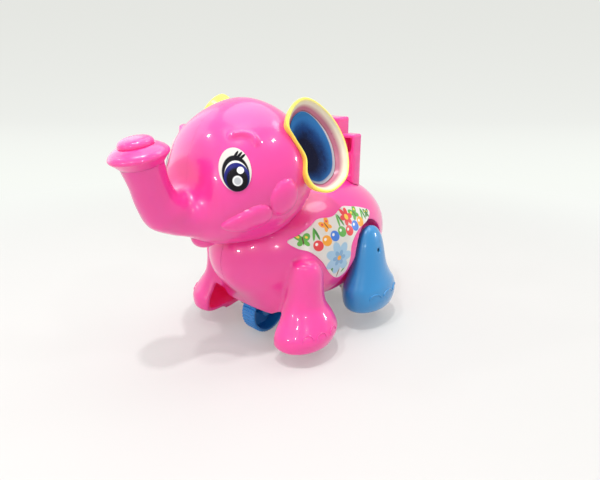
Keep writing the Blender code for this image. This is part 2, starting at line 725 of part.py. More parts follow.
def hind_leg(name, side):
    """A hollow leg that swings on the leg axle, open on its inner side."""
    y, z = HIND_PIVOT
    hollow = leg_solid(name + "_hollow", HIND_LEG, side, WALL)
    edges = tuple(sorted((side * HIND_LEG_INNER_X, side * REACH)))
    combine(hollow, rod(name + "_boss", "X", (edges, y, z), HIND_BOSS_RADIUS))
    leg = leg_solid(name, HIND_LEG, side, finish="blue")
    near, far = sorted((0.0, side * HIND_LEG_INNER_X))
    combine(leg, box(name + "_inside", (near, -REACH, -REACH), (far, REACH, REACH)))
    combine(leg, hollow)
    combine(leg, rod(name + "_hole", "X", (edges, y, z), SHAFT_HOLE))
    hang(leg, joint_empty(name + "_pivot", (side * HIND_LEG_INNER_X, y, z)))
    return leg


def trunk_tip(name):
    """Turned end of the trunk: a button on a flange, with a spigot down into the trunk."""
    spigot = TRUNK_RADIUS - WALL - 2 * GAP
    profile = [(BUTTON_RADIUS * r, FLANGE_HEIGHT + BUTTON_HEIGHT * h) for r, h in BUTTON_PROFILE]
    profile += [(FLANGE_RADIUS * r, FLANGE_HEIGHT * h) for r, h in FLANGE_PROFILE]
    profile += [(TRUNK_RADIUS, GAP), (spigot, GAP), (spigot, -SPIGOT_LENGTH), (0.0, -SPIGOT_LENGTH)]
    tip = turned(name, profile, "pink", steps=2 * FACETS)
    tip.location = (0.0, *TRUNK_PATH[0])
    tip.rotation_euler = (radians(TRUNK_TURNS[0]), 0.0, 0.0)
    return tip


def back_bracket(name):
    """Two hollow posts and a taller crest, joined by a web, standing on the back."""
    bracket = box(name, (-POST_X[1], WEB_Y[0], BRACKET_ROOT_Z), (POST_X[1], WEB_Y[1], WEB_TOP_Z), "pink")
    crest_low = (-CREST_HALF, CREST_Y[0], BRACKET_ROOT_Z)
    combine(bracket, box(name + "_crest", crest_low, (CREST_HALF, CREST_Y[1], CREST_TOP_Z)), "UNION")
    for side, word in ((1, "left"), (-1, "right")):
        near, far = sorted((side * POST_X[0], side * POST_X[1]))
        post = box(f"post_{word}", (near, POST_Y[0], BRACKET_ROOT_Z), (far, POST_Y[1], POST_TOP_Z))
        pocket_low = (near + BRACKET_WALL, POST_Y[0] - WALL, POCKET_Z[0])
        combine(post, box(f"pocket_{word}", pocket_low, (far - BRACKET_WALL, WEB_Y[1], POCKET_Z[1])))
        across = (far - near) / 2
        rise = (POCKET_Z[1] - POCKET_Z[0]) / 2
        middle = (near + far) / 2
        level = (POCKET_Z[1] + POCKET_Z[0]) / 2
        brace = loft(f"brace_{word}", [
            [
                (middle + side * end * across, y, level + end * rise / 2 + lift * BRACE_THICK)
                for end, lift in ((-1, -1), (1, -1), (1, 1), (-1, 1))
            ]
            for y in (POST_Y[0] + BRACKET_WALL, WEB_Y[1] + BRACKET_WALL)
        ])
        combine(post, brace, "UNION")
        combine(bracket, post, "UNION")
    combine(bracket, egg(name + "_seat", GAP))
    return bracket


def base_plate(name):
    """Plate across the belly with a window for the drive and two ears for the rear axle."""
    angles = np.linspace(0.0, 2 * pi, 2 * FACETS, endpoint=False)
    rings = [
        [(PLATE_HALF[0] * cos(a), BODY_Y + PLATE_HALF[1] * sin(a), z) for a in angles]
        for z in (PLATE_Z, PLATE_TOP_Z)
    ]
    plate = loft(name, rings, "white")
    window_low = (WINDOW_X[0], WINDOW_Y[0], PLATE_Z - WALL)
    combine(plate, box(name + "_window", window_low, (WINDOW_X[1], WINDOW_Y[1], PLATE_TOP_Z + WALL)))
    for side, word in ((1, "left"), (-1, "right")):
        near, far = sorted((side * REAR_EAR_X[0], side * REAR_EAR_X[1]))
        low = (near, REAR_AXLE_Y - REAR_EAR_HALF, REAR_AXLE_Z - REAR_EAR_HALF)
        high = (far, REAR_AXLE_Y + REAR_EAR_HALF, PLATE_Z + WALL)
        combine(plate, box(f"axle_ear_{word}", low, high), "UNION")
        for index, (x, y) in enumerate(PLATE_SCREWS):
            hole = (side * x, y, (PLATE_Z - WALL, PLATE_TOP_Z + WALL))
            combine(plate, rod(f"plate_hole_{word}_{index}", "Z", hole, SCREW_HOLE))
    ends = (-REAR_EAR_X[1] - WALL, REAR_EAR_X[1] + WALL)
    combine(plate, rod(name + "_axle_hole", "X", (ends, REAR_AXLE_Y, REAR_AXLE_Z), SHAFT_HOLE))
    return plate


def gear_plate(name, face_x):
    """Side plate of the gear pair, standing on the base plate by a bar."""
    outline = []
    for centre_y, centre_z, radius, start in (
        (WHEEL_Y, WHEEL_Z, PLATE_LOBES[0], SPOOL_BEARING + pi / 2),
        (SPOOL_Y, SPOOL_Z, PLATE_LOBES[1], SPOOL_BEARING - pi / 2),
    ):
        for angle in np.linspace(start, start + pi, FACETS // 2 + 1):
            outline.append((centre_y + radius * cos(angle), centre_z + radius * sin(angle)))
    plate = prism(name, outline, face_x - GEAR_PLATE_THICK, face_x, "white")
    foot = PLATE_TOP_Z + GAP
    low = (face_x - GEAR_PLATE_THICK, PLATE_BAR_Y[0], foot)
    combine(plate, box(name + "_bar", low, (face_x, PLATE_BAR_Y[1], foot + PLATE_BAR_HEIGHT)), "UNION")
    through = (face_x - GEAR_PLATE_THICK - WALL, face_x + WALL)
    combine(plate, rod(name + "_axle_hole", "X", (through, WHEEL_Y, WHEEL_Z), SHAFT_HOLE))
    combine(plate, rod(name + "_shaft_hole", "X", (through, SPOOL_Y, SPOOL_Z), SHAFT_HOLE))
    return plate


def gear_spacer(name, y):
    """Rod that holds the two gear plates apart."""
    near = GEAR_PLATE_X - GEAR_PLATE_THICK - GAP
    ends = (FAR_PLATE_X + GAP, near)
    level = PLATE_TOP_Z + GAP + PLATE_BAR_HEIGHT / 2
    return rod(name, "X", (ends, y, level), SPACER_RADIUS, "steel", SCREW_FACETS)


def gear(name, teeth, centre, phase, finish):
    """A spur gear along X with involute flanks and a bore for its shaft."""
    pitch = MODULE * teeth / 2
    base = pitch * cos(PRESSURE_ANGLE)
    root = pitch - DEDENDUM * MODULE
    tip = pitch + ADDENDUM * MODULE
    half_tooth = pi / (2 * teeth) - BACKLASH / (2 * pitch) + tan(PRESSURE_ANGLE) - PRESSURE_ANGLE
    flank = []
    for radius in (max(base, root), pitch, tip):
        roll = acos(min(1.0, base / radius))
        flank.append((radius, half_tooth - tan(roll) + roll))
    flank.insert(0, (root, flank[0][1]))
    outline = []
    for index in range(teeth):
        middle = phase + 2 * pi * index / teeth
        rising = [(radius, middle - half) for radius, half in flank]
        falling = [(radius, middle + half) for radius, half in reversed(flank)]
        for radius, angle in rising + falling:
            outline.append((centre[0] + radius * cos(angle), centre[1] + radius * sin(angle)))
    wheel = prism(name, outline, GEAR_X - GEAR_WIDTH / 2, GEAR_X + GEAR_WIDTH / 2, finish)
    through = (GEAR_X - GEAR_WIDTH, GEAR_X + GEAR_WIDTH)
    combine(wheel, rod(name + "_bore", "X", (through, *centre), SHAFT_HOLE))
    return wheel


def drive_wheel(name):
    """A ribbed cup wheel, open to the left, with a hub for its axle."""
    count = 2 * RIB_COUNT
    outline = []
    for index in range(count):
        radius = WHEEL_RADIUS - RIB_DEPTH * (index % 2)
        angle = -pi / 2 + 2 * pi * index / count
        outline.append((WHEEL_Y + radius * cos(angle), WHEEL_Z + radius * sin(angle)))
    half = WHEEL_WIDTH / 2
    wheel = prism(name, outline, -half, half, "blue")
    room = ((WHEEL_WEB - half, half + WALL), WHEEL_Y, WHEEL_Z)
    cup = rod(name + "_cup", "X", room, WHEEL_RADIUS - WHEEL_RIM)
    combine(cup, rod(name + "_hub", "X", ((-half, half - WALL), WHEEL_Y, WHEEL_Z), WHEEL_HUB_RADIUS))
    combine(wheel, cup)
    combine(wheel, rod(name + "_bore", "X", ((-half - WALL, AXLE_END_X + GAP), WHEEL_Y, WHEEL_Z), SHAFT_HOLE))
    return wheel


def shaft(name, y, z, low, high):
    """A plain steel shaft along X."""
    return rod(name, "X", ((low, high), y, z), SHAFT_RADIUS, "steel", FACETS)


def line_spool(name):
    """A flanged spool turned round its shaft."""
    half = SPOOL_WIDTH / 2
    profile = (
        (SHAFT_HOLE, half), (SPOOL_RADIUS, half), (SPOOL_RADIUS, half - SPOOL_FLANGE),
        (SPOOL_CORE_RADIUS, half - SPOOL_FLANGE), (SPOOL_CORE_RADIUS, SPOOL_FLANGE - half),
        (SPOOL_RADIUS, SPOOL_FLANGE - half), (SPOOL_RADIUS, -half), (SHAFT_HOLE, -half),
    )
    spool = turned(name, profile, "yellow", closed=True)
    spool.location = (SPOOL_X, SPOOL_Y, SPOOL_Z)
    spool.rotation_euler = (0.0, pi / 2, 0.0)
    return spool


def rear_wheel(name, side):
    """A small turned wheel with rounded edges."""
    half = REAR_WHEEL_WIDTH / 2
    tread = REAR_WHEEL_RADIUS
    profile = (
        (SHAFT_HOLE, half), (tread - 2 * WALL / 3, half), (tread, half - WALL / 2),
        (tread, WALL / 2 - half), (tread - 2 * WALL / 3, -half), (SHAFT_HOLE, -half),
    )
    wheel = turned(name, profile, "white", closed=True, steps=2 * FACETS)
    wheel.location = (side * REAR_WHEEL_X, REAR_AXLE_Y, REAR_AXLE_Z)
    wheel.rotation_euler = (0.0, pi / 2, 0.0)
    return wheel


def return_spring(name):
    """A flat strip wound in a spiral about the spool shaft."""
    inner = SHAFT_RADIUS + GAP + SPRING_THICK
    steps = SPRING_TURNS * FACETS
    rings = []
    for index in range(steps + 1):
        angle = 2 * pi * index / FACETS
        radius = inner + (SPRING_RADIUS - inner) * index / steps
        ring = []
        for x, lift in ((-1, 0), (-1, 1), (1, 1), (1, 0)):
            reach = radius + (lift - 1) * SPRING_THICK
            ring.append((
                SPRING_X + x * SPRING_WIDTH / 2, SPOOL_Y + reach * cos(angle), SPOOL_Z + reach * sin(angle),
            ))
        rings.append(ring)
    return loft(name, rings, "steel")


def build():
    """Builds every sub-part in its place."""
    for side, word in ((1, "left"), (-1, "right")):
        body_shell(f"body_shell_{word}", side)
        head_shell(f"head_shell_{word}", side)
        ear(f"ear_{word}", side)
        ear_sticker(f"ear_sticker_{word}", side)
        eye_sticker(f"eye_sticker_{word}", side)
        side_sticker(f"side_sticker_{word}", side)
        hind_leg(f"hind_leg_{word}", side)
        for (x, y), spot in zip(PLATE_SCREWS, ("front", "rear")):
            screw(f"plate_screw_{spot}_{word}", "Z", (side * x, y), PLATE_Z, PLATE_SCREW_LENGTH)
    trunk_tip("trunk_tip")
    back_bracket("back_bracket")
    base_plate("base_plate")
    for (y, z), spot in zip(SHELL_SCREWS, ("back", "rump", "chest")):
        screw(f"shell_screw_{spot}", "X", (y, z), -SHELL_SCREW_SEAT, SHELL_SCREW_LENGTH)
    y, z = HIND_PIVOT
    shaft("hind_leg_axle", y, z, -LEG_AXLE_HALF, LEG_AXLE_HALF)
    gear_plate("gear_plate_inner", GEAR_PLATE_X)
    gear_plate("gear_plate_outer", FAR_PLATE_X)
    gear_spacer("gear_spacer_front", PLATE_BAR_Y[0] + SPACER_INSET)
    gear_spacer("gear_spacer_rear", PLATE_BAR_Y[1] - SPACER_INSET)
    return_spring("return_spring")
    drive = joint_empty("drive_wheel_axis", (0.0, WHEEL_Y, WHEEL_Z))
    far_end = FAR_PLATE_X - GEAR_PLATE_THICK - STUB
    hang(drive_wheel("drive_wheel"), drive)
    hang(shaft("drive_axle", WHEEL_Y, WHEEL_Z, far_end, AXLE_END_X), drive)
    hang(gear("drive_pinion", PINION_TEETH, (WHEEL_Y, WHEEL_Z), SPOOL_BEARING, "white"), drive)
    spool = joint_empty("line_spool_axis", (0.0, SPOOL_Y, SPOOL_Z))
    gap_phase = SPOOL_BEARING + pi + pi / SPOOL_TEETH
    hang(gear("spool_gear", SPOOL_TEETH, (SPOOL_Y, SPOOL_Z), gap_phase, "white"), spool)
    hang(line_spool("line_spool"), spool)
    spool_end = SPRING_X - SPRING_WIDTH / 2 - STUB
    hang(shaft("spool_shaft", SPOOL_Y, SPOOL_Z, spool_end, GEAR_PLATE_X + STUB), spool)
    rear = joint_empty("rear_wheel_axis", (0.0, REAR_AXLE_Y, REAR_AXLE_Z))
    rear_end = REAR_WHEEL_X + REAR_WHEEL_WIDTH / 2 + STUB
    hang(shaft("rear_axle", REAR_AXLE_Y, REAR_AXLE_Z, -rear_end, rear_end), rear)
    for side, word in ((1, "left"), (-1, "right")):
        hang(rear_wheel(f"rear_wheel_{word}", side), rear)


build()
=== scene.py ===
"""Looks of a pull-along elephant toy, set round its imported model.

X runs to the elephant's left, Y to its tail and Z up from the floor it stands on. Metres.
"""
import json
from functools import partial
from math import cos, pi, radians, sin

import bmesh
import bpy
import numpy as np
from mathutils import Matrix, Vector


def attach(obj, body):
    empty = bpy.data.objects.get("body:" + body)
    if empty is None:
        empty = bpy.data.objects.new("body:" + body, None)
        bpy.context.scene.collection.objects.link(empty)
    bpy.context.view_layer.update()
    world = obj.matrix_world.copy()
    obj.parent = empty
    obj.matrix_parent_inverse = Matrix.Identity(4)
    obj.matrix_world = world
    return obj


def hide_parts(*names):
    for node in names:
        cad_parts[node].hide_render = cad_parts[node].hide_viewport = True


bl_info = {
    "name": "Pull-along elephant",
    "version": (1, 0, 0),
    "blender": (4, 5, 0),
    "location": "View3D > Sidebar > Elephant",
    "description": "Skins, labels, finishes and a stage for a pull-along elephant toy",
    "category": "Object",
}

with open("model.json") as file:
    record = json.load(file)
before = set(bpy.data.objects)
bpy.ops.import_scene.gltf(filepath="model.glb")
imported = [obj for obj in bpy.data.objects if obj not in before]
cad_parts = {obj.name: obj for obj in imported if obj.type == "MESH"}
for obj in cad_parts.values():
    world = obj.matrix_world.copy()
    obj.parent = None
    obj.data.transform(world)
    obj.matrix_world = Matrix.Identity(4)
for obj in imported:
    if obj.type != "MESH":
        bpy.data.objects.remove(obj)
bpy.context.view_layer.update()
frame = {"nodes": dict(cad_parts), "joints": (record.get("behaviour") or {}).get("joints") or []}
AXES = {joint["name"]: Vector(joint["pos_m"]) for joint in frame["joints"]}

# Body egg, head ball, the openings in the body, and the box that its lattice fills
BODY_HALF = (0.0380, 0.0588, 0.0336)
BODY_CENTRE = (0.0, 0.0234, 0.0462)
HEAD_HALF = (0.0341, 0.0312, 0.0327)
HEAD_CENTRE = (0.0, -0.0192, 0.0890)
BELLY_Z = 0.0220
CHEST_Z = 0.0190
INNER_X = 0.0253
LEG_RIM_X = (0.0165, 0.0240)
LEG_RIM_Z = 0.0232
PARTING_X = 0.00003
BODY_PARTING_X = 0.00009
BODY_LOW = (-0.0016, -0.0390, 0.0050)
BODY_HIGH = (0.0480, 0.0840, 0.0815)
CHEST_BLEND = 0.005
RIM_RUN = 0.006
NECK_GAP = 0.0006
MIRROR = (-1.0, 1.0, 1.0)
SIDES = ((1, "left"), (-1, "right"))
SHARP_ANGLE = radians(40.0)

# Head sections from the face to the nape: angle of the top point, angle of the bottom point,
# swell of the jaw, share of the full width
FACE_SECTIONS = (
    (2.0, 34.0, 1.31, 0.40), (20.0, 43.7, 1.22, 0.63), (49.5, 57.8, 1.11, 0.84),
    (90.0, 90.0, 1.00, 1.00),
)
NAPE_ANGLES = (123.0, 146.0, 165.0, 180.0)

# Trunk from its end to the face: swell of each section, axis (y, z), lean in degrees, top (y, z)
TRUNK_RADIUS = 0.0084
TRUNK_SWELLS = (1.0, 0.93, 0.96, 1.03, 1.10)
TRUNK_PATH = (
    (-0.0699, 0.0986), (-0.0678, 0.0910), (-0.0657, 0.0838), (-0.0625, 0.0783), (-0.0571, 0.0765),
)
TRUNK_TURNS = (11.0, 11.0, 17.0, 38.0, 67.0)
TRUNK_TOPS = (
    (-0.06165, 0.10020), (-0.06013, 0.09249), (-0.05750, 0.08720), (-0.05450, 0.08580),
    (-0.05170, 0.08680),
)
HEAD_ROWS = 240
HEAD_POINTS = 190
HEAD_SAMPLES = 600
NORMAL_STEP = 0.002
# Angle from the top at which the head's rows are evenly spaced
HEAD_LINE = radians(55.0)

# Trunk tip: radius and height of its flange and button, and shares of them along each profile
FLANGE = (0.0117, 0.0062)
BUTTON = (0.0069, 0.0047)
BUTTON_PROFILE = (
    (0.0, 1.0), (0.35, 0.99), (0.60, 0.95), (0.80, 0.86), (0.93, 0.70), (0.99, 0.52),
    (0.985, 0.36), (0.96, 0.29),
)
FLANGE_PROFILE = (
    (0.61, 1.25), (0.70, 1.19), (0.80, 1.08), (0.90, 0.95), (0.97, 0.80), (1.0, 0.66),
    (0.985, 0.55), (0.93, 0.45),
)
TIP_ROWS = 40
TIP_SEAT = 0.00005
SPIGOT_LENGTH = 0.0050
SPIGOT_GAP = 0.0006
TURN_STEPS = 96

# Legs: height, x, y, half width, half length of each section
FRONT_LEG = (
    (0.0067, 0.0311, -0.0123, 0.0107, 0.0129),
    (0.0076, 0.0311, -0.0122, 0.0124, 0.0151),
    (0.0102, 0.0313, -0.0116, 0.0140, 0.0167),
    (0.0150, 0.0318, -0.0107, 0.0145, 0.0170),
    (0.0205, 0.0310, -0.0098, 0.0129, 0.0143),
    (0.0265, 0.0298, -0.0096, 0.0103, 0.0113),
    (0.0330, 0.0298, -0.0095, 0.0093, 0.0097),
    (0.0400, 0.0301, -0.0096, 0.0088, 0.0090),
    (0.0450, 0.0305, -0.0102, 0.0077, 0.0078),
    (0.0484, 0.0308, -0.0110, 0.0058, 0.0058),
    (0.0500, 0.0309, -0.0115, 0.0034, 0.0034),
)
HIND_LEG = (
    (0.0092, 0.0372, 0.0371, 0.0074, 0.0121),
    (0.0102, 0.0372, 0.0371, 0.0094, 0.0148),
    (0.0130, 0.0372, 0.0368, 0.0110, 0.0176),
    (0.0175, 0.0372, 0.0368, 0.0119, 0.0188),
    (0.0230, 0.0370, 0.0366, 0.0114, 0.0185),
    (0.0280, 0.0368, 0.0360, 0.0098, 0.0156),
    (0.0340, 0.0365, 0.0359, 0.0082, 0.0126),
    (0.0430, 0.0358, 0.0370, 0.0064, 0.0104),
    (0.0490, 0.0352, 0.0378, 0.0050, 0.0084),
    (0.0536, 0.0348, 0.0380, 0.0028, 0.0049),
    (0.0552, 0.0346, 0.0378, 0.0008, 0.0010),
)
LEG_SAMPLES = 120
FOOT_EDGE = 0.003
HIND_INNER_X = 0.0275
HIND_PIVOT = (0.0365, 0.0430)
HIND_BOSS_RADIUS = 0.0042
AXLE_HOLE = 0.0018
AXLE_DIMPLE = 0.0011
AXLE_END_X = 0.0413
HIND_LOW = (0.0262, 0.0145, 0.0050)
HIND_HIGH = (0.0512, 0.0580, 0.0585)

# Chest: height, half width, reach forward
CHEST = (
    (0.0100, 0.0290, 0.0205), (0.0190, 0.0290, 0.0205), (0.0240, 0.0290, 0.0220),
    (0.0300, 0.0275, 0.0230), (0.0380, 0.0220, 0.0220),
)
CHEST_SQUARENESS = 3.0
CHEST_BACK_EDGE = 0.002
CHEST_TOP_EDGE = 0.004

# Recess for a hind leg, and the screws across the two shells
RECESS_X = 0.0265
RECESS_RADIUS = 0.0152
RECESS_FLARE = 0.0255
SHELL_SCREWS = ((0.0145, 0.0705), (0.0640, 0.0560), (-0.0200, 0.0420))
BOSS_RADIUS = 0.0044
WELL_RADIUS = 0.0032
WELL_SEAT = 0.0060
SCREW_HOLE = 0.0016
SCREW_END_X = 0.010

# Bracket on the back
POST_X = (0.0086, 0.0170)
POST_Y = (0.0458, 0.0536)
POST_TOP_Z = 0.1005
CREST_HALF = 0.0066
CREST_Y = (0.0450, 0.0560)
CREST_TOP_Z = 0.1090
WEB_Y = (0.0470, 0.0518)
WEB_TOP_Z = 0.0900
BRACKET_WALL = 0.0014
BRACKET_ROOT_Z = 0.0660
POCKET_Z = (0.0780, 0.0985)
POCKET_REACH = 0.01
BRACE_THICK = 0.0014
BRACE_SLANT = 0.75
BRACKET_BLEND = 0.0012
BRACKET_SEAT = 0.0002
BRACKET_ROOM = 0.002

# Ears: rim outline (back, up) round the ear's middle
EAR_RIM = (
    (-0.0075, 0.0211), (0.0006, 0.0172), (0.0078, 0.0082), (0.0108, -0.0036), (0.0076, -0.0151),
    (-0.0026, -0.0206), (-0.0116, -0.0186), (-0.0153, -0.0123), (-0.0142, -0.0042),
    (-0.0180, 0.0044), (-0.0201, 0.0108), (-0.0152, 0.0181),
)
EAR_HUB = (-0.0030, 0.0)
EAR_FLOOR_HUB = (-0.0112, -0.0020)
EAR_MIDDLE = Vector((0.0356, -0.0005, 0.1022))
EAR_AZIMUTH = radians(80.0)
EAR_TILT = radians(19.0)
EAR_DEPTH = (0.0026, 0.0056)
EAR_POINTS = 160
EAR_ROWS = 110
EAR_LABEL_SHARE = 0.852
EAR_LIP_SHARE = 0.905
# Share of the outline, share of the cup's depth, extra depth, place of the colour band, and share
# of the inner lip
EAR_PROFILE = (
    (0.0, 1.0, 0.0018, 0.0, 1.0), (0.45, 1.0, 0.0018, 0.0, 1.0), (0.82, 1.0, 0.0018, 0.0, 1.0),
    (0.915, 0.94, 0.0017, 0.0, 1.0), (0.955, 0.72, 0.0014, 0.0, 1.0),
    (0.975, 0.38, 0.0011, 0.0, 1.0), (0.992, 0.10, 0.0009, 0.1, 1.0), (1.0, 0.0, 0.0006, 0.2, 1.0),
    (0.998, 0.0, 0.0001, 0.3, 1.0), (0.984, 0.0, -0.0003, 0.42, 1.0),
    (0.957, 0.0, -0.0004, 0.5, 1.0), (0.928, 0.0, 0.0, 0.58, 1.0),
    (0.912, 0.05, 0.0004, 0.66, 0.998), (EAR_LIP_SHARE, 0.28, 0.0005, 0.74, 0.970),
    (EAR_LIP_SHARE, 0.60, 0.0003, 0.82, 0.930), (EAR_LIP_SHARE, 0.92, 0.0, 0.90, 0.880),
    (EAR_LIP_SHARE, 1.0, 0.0, 0.95, 0.857), (EAR_LIP_SHARE, 1.0, 0.0, 1.0, 0.40),
    (EAR_LIP_SHARE, 1.0, 0.0, 1.0, 0.0),
)

# Stem of an ear (back, up) about its middle: depth and share of its radius
STEM_PLACE = (-0.0030, -0.0040)
STEM_RADIUS = 0.0060
STEM_START = 0.0040
STEM_POINTS = 48
STEM_PROFILE = (
    (0.0020, 0.0), (0.0024, 1.45), (0.0034, 1.15), (0.0060, 1.0), (0.0120, 1.05), (0.0180, 1.10),
)

# Eye labels: place, directions and half sizes of an oval
EYE_PLACE = (0.0223, -0.0429, 0.0956)
EYE_ACROSS = (0.70, 0.69, 0.19)
EYE_UP = (-0.36, 0.11, 0.93)
EYE_HALF = (0.0063, 0.0087)

# Search for the eye on the head: spans of travel and angle, guesses, rounds, step and longest move
EYE_SEARCH = ((4.0, 8.0), (0.3, 2.6))
EYE_GUESSES = 60
EYE_ROUNDS = 8
EYE_STEP = 0.001
EYE_MOST = 0.4

# Leaf-shaped flank label (back, up) about its place, and its search for the body's form
FLANK_PLACE = (0.0080, 0.0540)
FLANK_EDGE = (
    (-0.0239, 0.0043), (-0.0185, 0.0064), (-0.0115, 0.0092), (-0.0055, 0.0116), (0.0030, 0.0114),
    (0.0120, 0.0140), (0.0180, 0.0132), (0.0260, 0.0112), (0.0330, 0.0079), (0.0270, 0.0046),
    (0.0170, 0.0026), (0.0095, -0.0030), (0.0082, -0.0110), (0.0066, -0.0175), (0.0015, -0.0195),
    (-0.0050, -0.0145), (-0.0100, -0.0073), (-0.0155, -0.0016), (-0.0210, 0.0010),
)
FLANK_ROUNDS = 12
FLANK_STEP = 1e-5
FLANK_LEAST = 1e-8
FLANK_MOST = 0.003

# Labels: shares of their rings, points round them, unit of a drawing, lift and sink about a skin
LABEL_SHARES = np.linspace(0.0, 1.0, 28)[:, None]
LABEL_POINTS = 120
LABEL_UNIT = 0.0100
LABEL_LIFT = 0.0001
LABEL_SINK = 0.0002
EAR_LABEL_LIFT = 0.0003

# Raised forms of the face: centre, two axes, half sizes, height, how far the tip narrows
FACE_FORMS = (
    ((0.0327, -0.0254, 0.0822), (0.23, 0.04, 0.97), (-0.20, -0.98, 0.09),
     (0.0080, 0.0068), 0.0022, 0.0),
    ((0.0245, -0.0395, 0.0746), (0.52, 0.82, 0.22), (0.25, -0.39, 0.88),
     (0.0110, 0.0060), 0.0026, 0.35),
)
FORM_POWER = 0.45
FORM_DEPTH = 0.010
BROW_SAMPLES = 50
BROW_PATH = (
    (0.0160, -0.0405, 0.1074), (0.0177, -0.0385, 0.1083), (0.0202, -0.0358, 0.1088),
    (0.0225, -0.0340, 0.1080), (0.0244, -0.0334, 0.1063), (0.0260, -0.0335, 0.1039),
)
LIP_HALF = (0.0054, 0.0069, 0.0052)
LIP_CENTRE = (0.0, -0.0430, 0.0627)
BALL_ROWS = 48
BALL_POINTS = 72

# Toe lines: bearings round the foot and half spread in degrees, heights of an arch's feet and crown
TOES = {
    "front": ((-41.0, -16.0, 13.0), 9.5, (0.0150, 0.0178)),
    "hind": ((-30.0, 2.0, 32.0), 12.5, (0.0190, 0.0218)),
}
TOE_THICK = 0.00040
TOE_POWER = 0.8
TOE_ROWS = 25
TOE_SIDES = 8
TOE_ROUNDS = 6

# Wheels
WHEEL_RADIUS = 0.0122
WHEEL_HALF = 0.0046
RIB_COUNT = 40
WHEEL_STEPS = 480
REAR_RADIUS = 0.0085
REAR_HALF = 0.0028
REAR_X = 0.0150

# Camera, as the photograph was taken
EYE_POINT = (0.1574, -0.1576, 0.13095)
VIEW_AZIMUTH = radians(41.36)
VIEW_ELEVATION = radians(18.4)
SENSOR_WIDTH = 36.0
LENS = 27.0
SHIFT_Y = -0.025
CLIP_START = 0.005

# Lamps: place, width, and the stage's value that is their power
LAMP_AIM = (0.0, 0.0, 0.055)
SPARK_WIDTH = 0.045
LAMPS = {
    "key_lamp": ((0.115, -0.153, 0.68), 0.03, "key"),
    "side_lamp": ((0.010, -0.270, 0.68), 0.03, "side"),
    "top_lamp": ((-0.08, 0.20, 0.62), 0.60, "top"),
    "back_lamp": ((0.20, 0.32, 0.62), 0.20, "back"),
    "fill_lamp": ((-0.10, -0.62, 0.44), 0.50, "fill"),
    "window_lamp": ((-0.52, -0.08, 0.34), 0.60, "window"),
    "low_spark": ((-0.054, -0.616, 0.256), SPARK_WIDTH, "spark"),
    "front_spark": ((0.194, -0.534, 0.370), SPARK_WIDTH, "spark"),
    "left_spark": ((0.486, -0.315, 0.350), SPARK_WIDTH, "spark"),
    "right_spark": ((-0.310, -0.370, 0.490), SPARK_WIDTH, "spark"),
    "high_spark": ((0.395, 0.106, 0.560), SPARK_WIDTH, "spark"),
    "rear_spark": ((0.420, 0.460, 0.220), SPARK_WIDTH, "spark"),
}
SKY_LIGHT = (1.0, 0.99, 0.97)
SKY_SEEN = (0.95, 0.95, 0.94)

# Floor: half width, front edge, start and radius of the bend behind, top of the wall, and finish
FLOOR_HALF = 2.2
FLOOR_FRONT = -1.6
BEND_START = 1.1
BEND_RADIUS = 0.6
WALL_TOP = 2.4
FLOOR_ROUGHNESS = 0.75
FLOOR_SHADES = (1.03, 0.8)
FLOOR_CLOUD = 0.05
FLOOR_NOISE = (9.0, 3.0)

# Backdrop: how far behind the toy, and the tone it is seen in there, a painted shade that darkens
# farther back
FLOOR_REACH = 3.0
BACKDROP_PAINTED_TONES = (
    (0.0, (0.955, 0.960, 0.945)), (0.36, (0.940, 0.965, 0.920)), (1.1, (0.860, 0.875, 0.840)),
    (2.0, (0.790, 0.800, 0.765)), (3.0, (0.750, 0.760, 0.720)),
)
# Share of the backdrop's tone close to the toy, and radii between which it grows to the whole
NEAR_GLOW = 0.28
GLOW_SPAN = (0.16, 0.42)

# Moulded plastic: scale per metre and detail of its clouds, smears, skin and dust
SKIN_NOISES = ((38.0, 3.0), (210.0, 4.0), (1400.0, 2.0), (2600.0, 1.0))
SKIN_DEPTH = 0.0004
DUST_LEVEL = 0.70
DUST_COLOUR = (0.9, 0.88, 0.85)
# Painted glow that stands in for light through thin walls: its emission strength, and how a point's
# depth in the wall marks it as inside
PAINTED_GLOW_STRENGTH = 0.13
INSIDE_RISE = 2.0
INSIDE_START = 0.6
# Words in the names of the steel nodes
STEEL_NODES = ("screw", "axle", "shaft", "spacer", "spring")

# Lattice: corners and edges of a cell, and the limits that keep a step along a field's slope small
CORNERS = np.array([(i, j, k) for i in (0, 1) for j in (0, 1) for k in (0, 1)])
CUBE_EDGES = [(a, a | bit) for a in range(8) for bit in (1, 2, 4) if not a & bit]
TINY = 1e-9
LEAST_SLOPE = 0.05
MOST_MOVE = 0.0006


def colour_value(name, description, default):
    """A linear colour that a user may change."""
    return bpy.props.FloatVectorProperty(
        name=name, description=description, subtype="COLOR", size=3, min=0.0, max=1.0,
        default=default,
    )


def length_value(name, description, default):
    """A length that a user may change."""
    return bpy.props.FloatProperty(
        name=name, description=description, default=default, min=0.00001, precision=5, unit="LENGTH"
    )


def power_value(name, description, default):
    """A lamp's power that a user may change."""
    return bpy.props.FloatProperty(
        name=name, description=description, default=default, min=0.0, unit="POWER"
    )


class ToySizes(bpy.types.PropertyGroup):
    """Sizes of the skins' finer forms"""
    wall: length_value("Wall", "Thickness of the moulded shells", 0.0018)
    cell: length_value("Cell", "Cell of the lattice for a body shell", 0.00074)
    leg_cell: length_value("Leg cell", "Cell of the lattice for a hind leg", 0.00056)
    bracket_cell: length_value("Bracket cell", "Cell of the lattice for the bracket", 0.00050)
    leg_blend: length_value("Leg blend", "Roundness where a front leg leaves the body", 0.0022)
    edge: length_value("Edge", "Rounding of a shell's open edges", 0.0008)
    post_edge: length_value("Post edge", "Rounding of the bracket's edges", 0.0011)
    brow_height: length_value("Brow", "Height of the brow's ridge", 0.0016)
    brow_width: length_value("Brow width", "Half width of the brow's ridge", 0.0013)
    label: length_value("Label", "Thickness of a label", 0.0003)
    rib_depth: length_value("Rib depth", "Depth of the grooves round the drive wheel", 0.0007)


